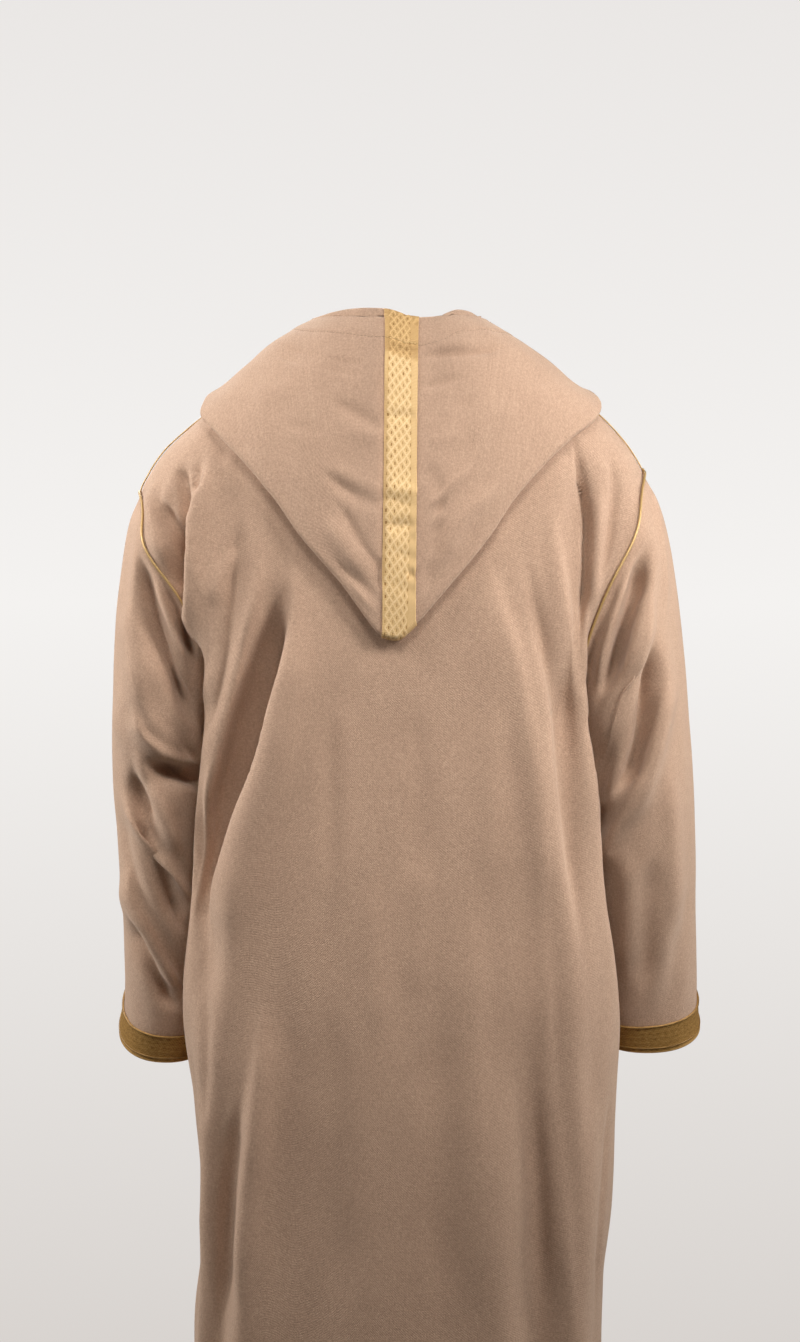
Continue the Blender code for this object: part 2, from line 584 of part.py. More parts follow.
def tube(name, cloth, path, outward):
    """A cord along a path, its ends closed."""
    tangent = unit(np.gradient(path, axis=0))
    up = unit(outward - tangent * np.sum(outward * tangent, axis=-1, keepdims=True))
    aside = np.cross(tangent, up)
    turns = 2.0 * math.pi * np.arange(PIPING_SIDES) / PIPING_SIDES
    rings = [path + PIPING_RADIUS * (up * math.cos(t) + aside * math.sin(t)) for t in turns]
    points = np.stack(rings, axis=1).reshape(-1, 3)
    faces = []
    for row in range(len(path) - 1):
        for place in range(PIPING_SIDES):
            a = row * PIPING_SIDES + place
            b = row * PIPING_SIDES + (place + 1) % PIPING_SIDES
            faces.append((a, b, b + PIPING_SIDES, a + PIPING_SIDES))
    faces.append(tuple(range(PIPING_SIDES))[::-1])
    last = (len(path) - 1) * PIPING_SIDES
    faces.append(tuple(range(last, last + PIPING_SIDES)))
    return add_object(name, cloth, points, faces)


def panel_levels():
    arm = YOKE_END + np.linspace(0.0, 1.0, ARMHOLE_STEPS + 1)[1:]
    skirt = ARMHOLE_END + (np.array(SKIRT_LEVELS[1:]) - UNDERARM_Z) / (HEM_Z - UNDERARM_Z)
    return np.concatenate([np.array(YOKE_LEVELS), arm, skirt])


def seam_normals(side, turn):
    """Outward directions of body and sleeve at the armhole, shared where they bend away, and
    the way out between them, longer where they face each other."""
    level = YOKE_END + np.where(turn <= math.pi, turn, 2.0 * math.pi - turn) / math.pi
    level = np.clip(level, YOKE_END + 2 * STEP, ARMHOLE_END - 2 * STEP)
    way = ARMHOLES[side]["way"]
    back = panel_normal(1, np.full(turn.shape, way * (1.0 - STEP)), level)
    front = panel_normal(-1, np.full(turn.shape, way * (1.0 - STEP)), level)
    body = np.where((turn <= math.pi)[..., None], back, front)
    sleeve = sleeve_normal(side, turn, np.full(turn.shape, 2 * STEP))
    onward = unit(sleeve_point(side, turn, np.full(turn.shape, 0.02))
                  - sleeve_point(side, turn, np.zeros(turn.shape)))
    convex = ease(np.sum((sleeve - body) * onward, axis=-1, keepdims=True) / 0.1)
    convex = convex * ease(4.0 * np.sum(sleeve * body, axis=-1, keepdims=True))
    shared = unit(sleeve + body)
    opening = 0.5 * np.linalg.norm(sleeve + body, axis=-1, keepdims=True)
    return (unit(body + (shared - body) * convex), unit(sleeve + (shared - sleeve) * convex),
            shared / np.maximum(opening, 0.3))


def build_panel(name, facing, columns):
    across = np.linspace(-1.0, 1.0, columns + 1)
    levels = panel_levels()
    grid = panel_point(facing, across[None, :], levels[:, None])
    normal = panel_normal(facing, across[None, :], levels[:, None])
    arm_rows = (levels >= YOKE_END) & (levels <= ARMHOLE_END)
    turn = math.pi * (levels[arm_rows] - YOKE_END)
    if facing < 0:
        turn = 2.0 * math.pi - turn
    for side, column in (("right", 0), ("left", -1)):
        normal[arm_rows, column] = seam_normals(side, turn)[0]
    for column, inner in ((0, 1), (-1, -2)):
        edge = grid[:, column].copy()
        grid[:, column] = edge + unit(grid[:, inner] - edge) * EDGE_BACK
    wall(name, "taupe_wool", grid, grid - normal * CLOTH)


def build_sleeve(side):
    turns = 2.0 * math.pi * np.arange(2 * ARMHOLE_STEPS) / (2 * ARMHOLE_STEPS)
    cuff = 1.0 - CUFF_BRAID_WIDTH / sleeve_table(side)[0][-1]
    along = np.concatenate([np.linspace(0.0, 1.0, SLEEVE_RINGS) * cuff,
                            np.linspace(cuff, 1.0, CUFF_RINGS + 1)[1:]])
    grid = sleeve_point(side, turns[None, :], along[:, None])
    normal = sleeve_normal(side, turns[None, :], np.maximum(along, 2 * STEP)[:, None])
    normal[0] = seam_normals(side, turns)[1]
    grid[0] = grid[0] + unit(grid[1] - grid[0]) * EDGE_BACK
    wall("sleeve_" + side, "taupe_wool", grid, grid - normal * CLOTH, closed=True)
    band = grid[-(CUFF_RINGS + 1):]
    lift = normal[-(CUFF_RINGS + 1):]
    wall("cuff_braid_" + side, "gold_braid", band + lift * (SEAM_GAP + BRAID_THICK),
         band + lift * SEAM_GAP, closed=True, lies_on=band)


def build_piping(side):
    shown = ARMHOLE_STEPS - PIPING_ENDS
    turns = np.arange(-shown, shown + 1, dtype=float)
    turns = (turns * math.pi / ARMHOLE_STEPS) % (2.0 * math.pi)
    outward = seam_normals(side, turns)[2]
    path = armhole_point(side, turns) + outward * (PIPING_RADIUS + PIPING_LIFT)
    tube("armhole_piping_" + side, "gold_piping", path, outward)
    way = ARMHOLES[side]["way"]
    levels = np.array(YOKE_LEVELS)
    levels[0], levels[-1] = SHOULDER_PIPING
    seam = panel_point(1, np.full(levels.shape, way), levels)
    outward = panel_normal(1, np.full(levels.shape, way), levels)
    tube("shoulder_piping_" + side, "gold_piping",
         seam + outward * (PIPING_RADIUS + PIPING_LIFT), outward)


def build_hood():
    middle = hood_grid()
    normal = grid_normal(middle)
    middle_row = len(HOOD_UNDER_SHARES) + HOOD_FOLD_ROWS + HOOD_OUTER_ROWS // 2
    if normal[middle_row, BRAID_COLUMNS[0]][1] < 0.0:
        normal = -normal
    outer = middle + normal * (0.5 * CLOTH)
    inner = middle - normal * (0.5 * CLOTH)
    wall("hood", "taupe_wool", outer, inner)
    first = len(HOOD_UNDER_SHARES)
    strip = outer[first:, BRAID_COLUMNS[0]:BRAID_COLUMNS[1] + 1]
    lift = normal[first:, BRAID_COLUMNS[0]:BRAID_COLUMNS[1] + 1]
    wall("hood_braid", "gold_braid", strip + lift * (SEAM_GAP + BRAID_THICK),
         strip + lift * SEAM_GAP, lies_on=strip)


for leftover in list(bpy.data.objects):
    bpy.data.objects.remove(leftover)
robe = bpy.data.collections.new("djellaba_robe")
bpy.context.scene.collection.children.link(robe)

build_panel("back", 1, BACK_COLUMNS)
build_panel("front", -1, FRONT_COLUMNS)
for wearer_side in ("left", "right"):
    build_sleeve(wearer_side)
    build_piping(wearer_side)
build_hood()
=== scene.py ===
"""Looks of a long hooded robe of felted wool, as worn, with woven gold braid and corded piping.

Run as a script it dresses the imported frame. The operators and their sizes also show in the
sidebar of the 3D view. Metres, +Z up, the robe's front faces -Y and its left side is +X.
"""
import math

import bmesh
import bpy
import numpy as np
from bpy.props import FloatProperty, FloatVectorProperty, PointerProperty, StringProperty
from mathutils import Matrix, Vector, noise


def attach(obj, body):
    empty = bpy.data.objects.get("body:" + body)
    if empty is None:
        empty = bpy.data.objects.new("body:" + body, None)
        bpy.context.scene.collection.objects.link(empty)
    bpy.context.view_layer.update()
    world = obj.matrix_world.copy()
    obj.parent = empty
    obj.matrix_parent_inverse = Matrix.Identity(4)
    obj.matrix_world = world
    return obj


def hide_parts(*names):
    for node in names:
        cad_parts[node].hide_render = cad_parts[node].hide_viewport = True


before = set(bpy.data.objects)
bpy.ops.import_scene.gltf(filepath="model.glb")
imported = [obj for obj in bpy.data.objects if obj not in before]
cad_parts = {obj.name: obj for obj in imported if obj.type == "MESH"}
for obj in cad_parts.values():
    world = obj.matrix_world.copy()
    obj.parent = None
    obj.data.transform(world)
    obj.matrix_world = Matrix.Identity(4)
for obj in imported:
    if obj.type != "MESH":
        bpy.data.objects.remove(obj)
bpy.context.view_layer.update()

bl_info = {
    "name": "Djellaba robe",
    "version": (1, 0, 0),
    "blender": (4, 5, 0),
    "location": "3D View > Sidebar > Robe",
    "description": "Dresses a hooded robe in felted wool, woven braid and corded piping",
    "category": "Add Mesh",
}

MM = 0.001
# how far apart two points are taken to find a direction
STEP = 1e-3

# ---- heights of the cut
HEM_Z = -1.380
UNDERARM_Z = -0.372

# ---- how finely the cloth is drawn: columns across or round, and rows; the panels' rows run from
# the neck to the shoulder point, down the armhole and to the hem, the hood's are those of the
# layer underneath, the fold and the layer on top
BACK_COLUMNS = 168
FRONT_COLUMNS = 88
PANEL_ROWS = (34, 52, 200)
SLEEVE_COLUMNS_ROUND = 136
SLEEVE_ROWS = 152
HOOD_COLUMNS_ROUND = 220
HOOD_ROWS = (26, 9, 96)
HOOD_BRAID_COLUMNS = 51
BRAID_ROW = 0.0005
CUFF_ROWS = 42
CUFF_COLUMNS = 370

# ---- how round a cloth's edges are, as a share of its thickness
CLOTH_RIM = 0.45
HOOD_RIM = 0.9
BRAID_RIM = 0.35

# ---- cords: strands, facets of a strand and how deep the strands dip between each other; radius
# and pitch of the cuffs' cords and where they lie along the braid; how far the armholes' piping
# stands off its seam, how far it runs each way from the shoulder point, in radians, and in how
# many points; the part of the yoke that the shoulders' piping runs along, how much thinner it is
# and in how many points; last, what keeps the armholes' piping from being pushed too far out where
# body and sleeve face each other
CORD_STRANDS = 2
CORD_FACETS = 4
CORD_DIP = 0.22
CUFF_CORD = 0.0007
CUFF_CORD_PITCH = 1.8 * MM
CUFF_CORD_PLACES = {"top": 0.03, "lower": 0.84}
PIPING_LIFT = 0.0009
PIPING_REACH = math.pi * 7.0 / 10.0
PIPING_POINTS = 90
SHOULDER_PIPING = (0.12, 0.995)
SHOULDER_THINNER = 0.6
NARROWEST_OPENING = 0.3
SHOULDER_POINTS = 40

# ---- stitches: place of each ring of points along the stitch and its size, points to a ring,
# share of the pitch that the stitch fills, then its arch and half thickness in millimetres and how
# flat it lies
STITCH_RINGS = ((-0.5, 0.15), (-0.28, 0.9), (0.0, 1.0), (0.28, 0.9), (0.5, 0.15))
STITCH_SIDES = 6
STITCH_FILL = 0.74
STITCH_ARCH = 0.30
STITCH_RADIUS = 0.36
STITCH_FLAT = 0.8

# ---- weave of the hood's braid: from one rib to the next, width and length of a lozenge, width of
# the ribbed edges, half width of the bright lines as a share of a lozenge, and half width and half
# length of the dark ticks; then how much bright yarn lies on top in each part
BRAID_RIB = 0.0015
BRAID_COLUMN = 0.0075
BRAID_REPEAT = 0.0118
SELVEDGE = 0.0050
BRAID_LINE = 0.10
BRAID_TICK = (0.0004, 0.0015)
BRAID_BRIGHT = {"line": 0.86, "lozenge": 0.56, "rib": 0.20, "tick": 0.08, "edge": 0.60,
                "border": 0.50}
# height of the weave's relief and how far each braid stands off the cloth, in millimetres
BRAID_RELIEF = 0.36
HOOD_BRAID_LIFT = 0.4
CUFF_BRAID_LIFT = 0.2
# the turned hem of the hood as it shows in the braid, in metres down from the hood's edge: its
# middle and half width, and the line of stitches above it at the wearer's left and right; and how
# much darker the braid is painted above it and on it, as painted shade of the hem's turn
HEM_FOLD = (0.0455, 0.0080)
HEM_LINE = (0.0360, 0.0340)
HEM_PAINTED_SHADE = (0.34, 0.42)
# sags of the hood's braid: down from the edge, reach, depth, and the side (1 is the wearer's left)
BRAID_SAGS = (
    (0.097, 0.0060, 0.0008, 0.0),
    (0.130, 0.0070, 0.0005, 1.0),
    (0.169, 0.0070, 0.0007, 0.0),
    (0.201, 0.0050, 0.0010, 0.0),
    (0.232, 0.0050, 0.0008, -1.0),
    (0.251, 0.0050, 0.0009, -1.0),
    (0.283, 0.0070, 0.0011, -1.0),
)

# ---- weave of the cuff braid: from one slanting rib to the next, their slant, how many long ridges
# it has and the width of its bright edges in millimetres; then how much bright yarn lies on top in
# each part
CHEVRON_PITCH = 0.0024
CHEVRON_SLANT = 0.7
CHEVRON_RIDGES = 5.0
CHEVRON_EDGE = 1.3
CHEVRON_BRIGHT = {"ground": 0.52, "rib": 0.13, "ridge": 0.05, "edge": 0.80}

# ---- stage: the round floor, the height up or down at which the backdrop's colours end (1 is
# straight up) and where its middle colour lies between them, the width of the camera's sensor in
# millimetres; then name, place, aim, size, spread in degrees and share of the main light's power
FLOOR_RADIUS = 2.2
FLOOR_SIDES = 96
BACKDROP_REACH = 0.21
BACKDROP_MIDDLE = 0.55
SENSOR_WIDTH = 36.0
STAGE_LIGHTS = (
    ("main_softbox", (-1.05, 0.95, 0.62), (0.0, 0.0, -0.45), 0.4, 66.0, 0.024),
    ("high_softbox", (-0.10, 1.15, 0.85), (0.0, 0.0, -0.45), 0.6, 60.0, 0.029),
    ("left_high_softbox", (1.20, 0.60, 0.65), (0.1, 0.0, -0.35), 0.6, 70.0, 0.046),
    ("low_right_softbox", (-1.10, 0.80, 0.25), (0.0, 0.0, -0.35), 0.4, 70.0, 0.032),
    ("left_softbox", (2.0, -0.3, 0.3), (0.2, 0.0, 0.0), 0.8, 120.0, 0.28),
    ("right_softbox", (-2.0, -0.3, 0.3), (-0.2, 0.0, 0.0), 0.8, 120.0, 0.21),
    ("front_softbox", (0.9, -2.6, 1.5), (0.0, 0.0, -0.6), 1.6, 180.0, 1.0),
)

# ---- body: one row per level. Half widths to the wearer's left and right, depth of back and
# front from the side line, how far the arm presses the side in, where along Y it presses, and
# how square the section is (2 is an ellipse).
BODY_SECTIONS = {
    "z": (0.050, 0.012, 0.000, -0.013, -0.033, -0.052, -0.068, -0.082, -0.108, -0.131,
          -0.147, -0.200, -0.260, -0.320, -0.372, -0.450, -0.550, -0.650, -0.750, -0.850,
          -0.980, -1.180, -1.380),
    "left": (0.060, 0.078, 0.100, 0.125, 0.150, 0.170, 0.190, 0.208, 0.236, 0.251,
             0.258, 0.260, 0.250, 0.236, 0.227, 0.224, 0.224, 0.222, 0.207, 0.200,
             0.205, 0.208, 0.211),
    "right": (0.060, 0.078, 0.100, 0.123, 0.150, 0.172, 0.195, 0.210, 0.231, 0.243,
              0.246, 0.245, 0.235, 0.220, 0.214, 0.213, 0.220, 0.224, 0.217, 0.213,
              0.202, 0.199, 0.202),
    "back": (0.052, 0.062, 0.070, 0.078, 0.087, 0.094, 0.099, 0.103, 0.109, 0.114,
             0.117, 0.123, 0.127, 0.128, 0.127, 0.126, 0.126, 0.127, 0.129, 0.131,
             0.135, 0.142, 0.150),
    "front": (0.050, 0.055, 0.062, 0.070, 0.080, 0.088, 0.094, 0.099, 0.106, 0.111,
              0.115, 0.122, 0.127, 0.130, 0.131, 0.133, 0.135, 0.138, 0.140, 0.143,
              0.147, 0.153, 0.160),
    "press": (0.00, 0.00, 0.00, 0.00, 0.00, 0.00, 0.00, 0.00, 0.00, 0.00,
              0.00, 0.02, 0.16, 0.295, 0.300, 0.29, 0.29, 0.28, 0.18, 0.06,
              0.00, 0.00, 0.00),
    "press_y": (0.00, 0.00, 0.00, 0.00, 0.00, 0.00, 0.00, 0.00, 0.00, 0.00,
                0.00, 0.00, 0.00, 0.00, 0.00, -0.012, -0.022, -0.045, -0.06, -0.06,
                0.00, 0.00, 0.00),
    "square": (2.2, 2.2, 2.2, 2.2, 2.2, 2.2, 2.2, 2.2, 2.2, 2.2,
               2.2, 2.3, 2.5, 2.7, 2.8, 2.9, 2.9, 2.9, 2.8, 2.6,
               2.4, 2.3, 2.3),
}
PRESS_REACH = 0.072

# ---- armholes: height of the shoulder point, half depth from front to back, and how far the
# seam bows outwards over its upper half and all along
ARMHOLES = {
    "left": {"way": 1.0, "top_z": -0.147, "depth": 0.083, "bow_top": 0.016, "bow": 0.000},
    "right": {"way": -1.0, "top_z": -0.128, "depth": 0.083, "bow_top": 0.009, "bow": 0.003},
}
BOW_TURN = math.radians(62.0)
BOW_REACH = math.radians(20.0)

# ---- neck edge, from the middle of the back round to the middle of the front
NECK_EDGE = {
    "angle": (0.0, 45.0, 90.0, 144.0, 159.0, 169.0, 177.5, 180.0),
    "z": (0.008, 0.009, 0.006, -0.010, -0.036, -0.066, -0.104, -0.112),
}

# ---- levels of a panel, 0 at the neck and 3 at the hem: the shoulder and the underarm point
YOKE_END = 1.0
ARMHOLE_END = 2.0

# ---- how a panel is shaped beside the armhole, all but the last two as shares of its half width:
# where its rows are evenly spread, where it starts to bend towards the armhole, and where the long
# folds start to fade and over how much; then how far down they fade, in levels, and over how much
EVEN_SHARE = 0.25
BEND_SHARE = 0.45
FADE_SHARES = (0.50, 0.35)
FADE_LEVELS = (0.09, 0.10)

# ---- where a panel's creases are held back: shares of its half width beside a seam and added to
# it beside the armhole, the levels that count as beside it, and the levels below the neck
SEAM_HOLD = (0.025, 0.030)
ARM_HOLD = (0.9, 2.15, 0.2)
NECK_HOLD = 0.12
# the groove of a side seam: half width and depth, the half width of a panel, and where it starts
GROOVE = (0.0022, 0.0010)
PANEL_HALF = 0.30
GROOVE_LEVEL = 1.9

# ---- folds of the body: where each starts and ends (height, and angle round from the middle
# of the back, the wearer's left positive), half width, and height (a trough is negative)
BODY_FOLDS = (
    (-0.230, 24.0, -0.560, 48.0, 0.020, -0.015),
    (-0.220, 21.0, -0.860, 56.0, 0.022, 0.010),
    (-0.190, 33.0, -0.400, 48.0, 0.016, 0.008),
    (-0.090, 46.0, -0.230, 50.0, 0.016, 0.005),
    (-0.060, -44.0, -0.330, -45.0, 0.016, -0.011),
    (-0.240, -32.0, -0.990, -50.0, 0.018, 0.006),
    (-0.280, -27.0, -0.860, -38.0, 0.016, -0.004),
    (-0.640, -30.0, -1.380, -52.0, 0.020, -0.009),
    (-0.640, -21.0, -1.380, -33.0, 0.022, 0.009),
    (-0.700, -48.0, -1.380, -68.0, 0.018, 0.006),
    (-0.620, 52.0, -1.380, 76.0, 0.018, 0.007),
    (-0.640, 45.0, -1.380, 66.0, 0.018, -0.008),
    (-0.640, 35.0, -1.380, 56.0, 0.020, 0.009),
    (-0.560, 9.0, -1.380, 10.0, 0.028, 0.005),
    (-0.660, 24.0, -1.380, 32.0, 0.024, -0.007),
    (-0.760, -8.0, -1.380, -10.0, 0.026, -0.006),
    (-0.900, 92.0, -1.380, 92.0, 0.020, -0.009),
    (-0.900, -90.0, -1.380, -90.0, 0.018, -0.008),
    (-0.400, 118.0, -1.380, 112.0, 0.022, 0.010),
    (-0.450, 136.0, -1.380, 131.0, 0.022, -0.012),
    (-0.500, 152.0, -1.380, 150.0, 0.022, 0.010),
    (-0.600, 168.0, -1.380, 168.0, 0.020, -0.009),
    (-0.500, 184.0, -1.380, 186.0, 0.024, 0.009),
    (-0.650, 201.0, -1.380, 204.0, 0.020, -0.010),
    (-0.450, 218.0, -1.380, 223.0, 0.022, 0.010),
    (-0.400, 236.0, -1.380, 242.0, 0.022, -0.010),
)
FOLD_RADIUS = 0.185
FOLD_FADE = 0.16

# ---- sleeves: one entry per section below the armhole. Outermost and innermost point, backmost
# and frontmost Y, and how far the section tips up towards the front, in degrees
SLEEVE_BACK_Y = (0.0820, 0.0790, 0.0750, 0.0710, 0.0660, 0.0610, 0.0550,
                 0.0460, 0.0340, 0.0220, 0.0130, 0.0060, 0.0030)
SLEEVE_FRONT_Y = (-0.0840, -0.0860, -0.0885, -0.0915, -0.0950, -0.0990, -0.1040,
                  -0.1100, -0.1170, -0.1240, -0.1300, -0.1350, -0.1370)
SLEEVE_COLUMNS = ("out_x", "out_z", "in_x", "in_z", "back_y", "front_y", "tilt")
SLEEVES = {
    "left": {
        "out_x": (0.2690, 0.2775, 0.2845, 0.2875, 0.2880, 0.2865, 0.2840,
                  0.2815, 0.2795, 0.2790, 0.2805, 0.2835, 0.2850),
        "out_z": (-0.1760, -0.2200, -0.2720, -0.3280, -0.3850, -0.4400, -0.4900,
                  -0.5380, -0.5850, -0.6260, -0.6560, -0.6760, -0.6870),
        "in_x": (0.1720, 0.1770, 0.1790, 0.1800, 0.1810, 0.1830, 0.1850,
                 0.1860, 0.1865, 0.1870, 0.1875, 0.1880, 0.1880),
        "in_z": (-0.3860, -0.4010, -0.4190, -0.4410, -0.4680, -0.5000, -0.5340,
                 -0.5690, -0.6040, -0.6370, -0.6620, -0.6800, -0.6900),
        "back_y": SLEEVE_BACK_Y,
        "front_y": SLEEVE_FRONT_Y,
        "tilt": (1.0, 3.0, 5.0, 8.0, 11.0, 14.0, 17.0, 19.0, 20.5, 21.5, 22.0, 22.0, 22.0),
    },
    "right": {
        "out_x": (0.2585, 0.2705, 0.2790, 0.2855, 0.2900, 0.2930, 0.2955,
                  0.2970, 0.2985, 0.3000, 0.3015, 0.3030, 0.3045),
        "out_z": (-0.1610, -0.2060, -0.2590, -0.3160, -0.3740, -0.4300, -0.4810,
                  -0.5300, -0.5780, -0.6200, -0.6520, -0.6730, -0.6840),
        "in_x": (0.1620, 0.1670, 0.1720, 0.1755, 0.1790, 0.1815, 0.1840,
                 0.1860, 0.1875, 0.1890, 0.1900, 0.1920, 0.1930),
        "in_z": (-0.3860, -0.4010, -0.4190, -0.4410, -0.4680, -0.4990, -0.5320,
                 -0.5660, -0.6000, -0.6320, -0.6570, -0.6750, -0.6850),
        "back_y": SLEEVE_BACK_Y,
        "front_y": SLEEVE_FRONT_Y,
        "tilt": (1.0, 3.0, 5.0, 8.0, 10.5, 12.5, 14.5, 16.0, 17.0, 18.0, 18.0, 18.0, 18.0),
    },
}
# folds of the sleeves: start and end as a share of the length and an angle round from the
# outermost point (the back is 90), half width and rise
SLEEVE_FOLDS = {
    "left": (
        (0.12, 100.0, 0.40, 40.0, 0.020, 0.006),
        (0.30, 125.0, 0.50, 60.0, 0.018, -0.008),
        (0.55, 60.0, 0.66, 130.0, 0.018, 0.007),
        (0.60, 40.0, 0.85, 120.0, 0.018, -0.006),
    ),
    "right": (
        (0.10, 70.0, 0.42, 125.0, 0.018, 0.007),
        (0.22, 95.0, 0.48, 140.0, 0.018, -0.009),
        (0.36, 60.0, 0.56, 125.0, 0.018, 0.007),
        (0.75, 40.0, 0.98, 80.0, 0.022, -0.005),
    ),
}
# how square a sleeve is below its blend (1 is an ellipse), the share of its length over which it
# blends from the armhole, its length and mean radius, the shares at the armhole and the cuff over
# which its long folds and then its creases fade, and the width of the cuff's braid
SLEEVE_SQUARE = 0.90
SLEEVE_BLEND = 0.3
SLEEVE_LENGTH = 0.55
SLEEVE_RADIUS = 0.07
CALM_TOP = 0.08
CALM_CUFF = 0.10
SLEEVE_HOLD = (0.035, 0.10)
CUFF_BRAID_WIDTH = 0.0290

# ---- hood: one row per column from the middle of the front on the wearer's left, over the
# left shoulder, across the back and round to the front again. Where it is folded (angle,
# height) and where its opening edge lies (angle, height), and how far that edge stands off.
HOOD_COLUMNS = {
    "place": (0, 3, 6, 8, 9, 10, 11, 12, 13, 14, 15, 16, 17,
              18, 19, 20, 21, 22, 23, 24, 25, 26, 28, 31, 34),
    "fold_angle": (178.2, 150.0, 115.0, 90.0, 76.0, 64.0, 52.0, 40.0, 28.5, 20.5, 13.0, 3.9, 0.8,
                   -3.6, -10.5, -19.2, -26.5, -35.0, -46.6, -56.0, -66.0, -90.0, -115.0,
                   -150.0, -178.2),
    "fold_z": (-0.138, -0.082, -0.062, -0.060, -0.066, -0.0785, -0.090, -0.110, -0.1462,
               -0.193, -0.234, -0.2881, -0.2905,
               -0.2767, -0.243, -0.1952, -0.150, -0.119, -0.0946, -0.084, -0.074, -0.057,
               -0.060, -0.082, -0.138),
    "edge_angle": (178.0, 150.0, 120.0, 100.0, 88.0, 76.0, 66.0, 56.0, 46.0, 35.0, 23.0, 10.4,
                   -0.5, -11.1, -20.0, -30.0, -40.0, -49.0, -58.0, -68.0, -80.0, -100.0,
                   -120.0, -150.0, -178.0),
    "edge_z": (-0.092, -0.004, 0.010, 0.014, 0.015, 0.015, 0.014, 0.015, 0.0177, 0.0208,
               0.0222, 0.0216, 0.0167,
               0.0071, 0.0078, 0.0160, 0.0205, 0.0197, 0.0135, 0.012, 0.011, 0.010, 0.008,
               -0.004, -0.092),
    "stand_off": (0.007, 0.009, 0.011, 0.013, 0.014, 0.015, 0.016, 0.017, 0.018, 0.018, 0.018,
                  0.018, 0.018, 0.018, 0.018, 0.018, 0.018, 0.017, 0.016, 0.015, 0.014, 0.013,
                  0.011, 0.009, 0.007),
}
# the columns that the braid lies on, how much wider the cloth under it is worked out, and in how
# many columns
BRAID_COLUMNS = (16, 18)
BRAID_MARGIN = 0.6
BRAID_WIDE_COLUMNS = 60
# how far the hood's wall stands off the robe: on the back, over the shoulder seams' piping and at
# the neck seam, and the shares of the layer underneath over which it gets there
HOOD_CLEAR = 0.0042
HOOD_RIDGE_CLEAR = 0.0058
HOOD_NECK_CLEAR = 0.0015
HOOD_NECK_SHARES = (0.1, 0.08)
RIDGE_WIDTH = 0.45
# the fold's radius, how far the layer on top bellies out, and how far round in radians
HOOD_FOLD_RADIUS = 0.0042
HOOD_BELLY = 0.006
HOOD_BELLY_WIDTH = 1.2
# the angle round at which the back ends, and over how much it turns into the side
ON_BACK = (math.radians(80.0), math.radians(35.0))
# a row of the layer on top, counted from the edge, and the share of it that lies calm at its ends
HOOD_OUTER_ROW = -40
HOOD_HOLD = 0.05
# the hood's sewn hem: its width, the half width and depth of the groove its stitches make, and the
# step of the turned cloth: place past the stitches, width and height
HOOD_HEM = 0.0350
HEM_GROOVE = (0.0016, 0.0007)
HEM_STEP = (0.001, 0.002, 0.0006)
# its stitches: columns left free at each end, and how deep they sink, in millimetres; and the row,
# counted from the edge, and lift in millimetres of those that show on the braid
HEM_ENDS = 3
HEM_STITCH_SINK = 0.15
HEM_LINE_ROW = 60
HEM_LINE_LIFT = 0.3

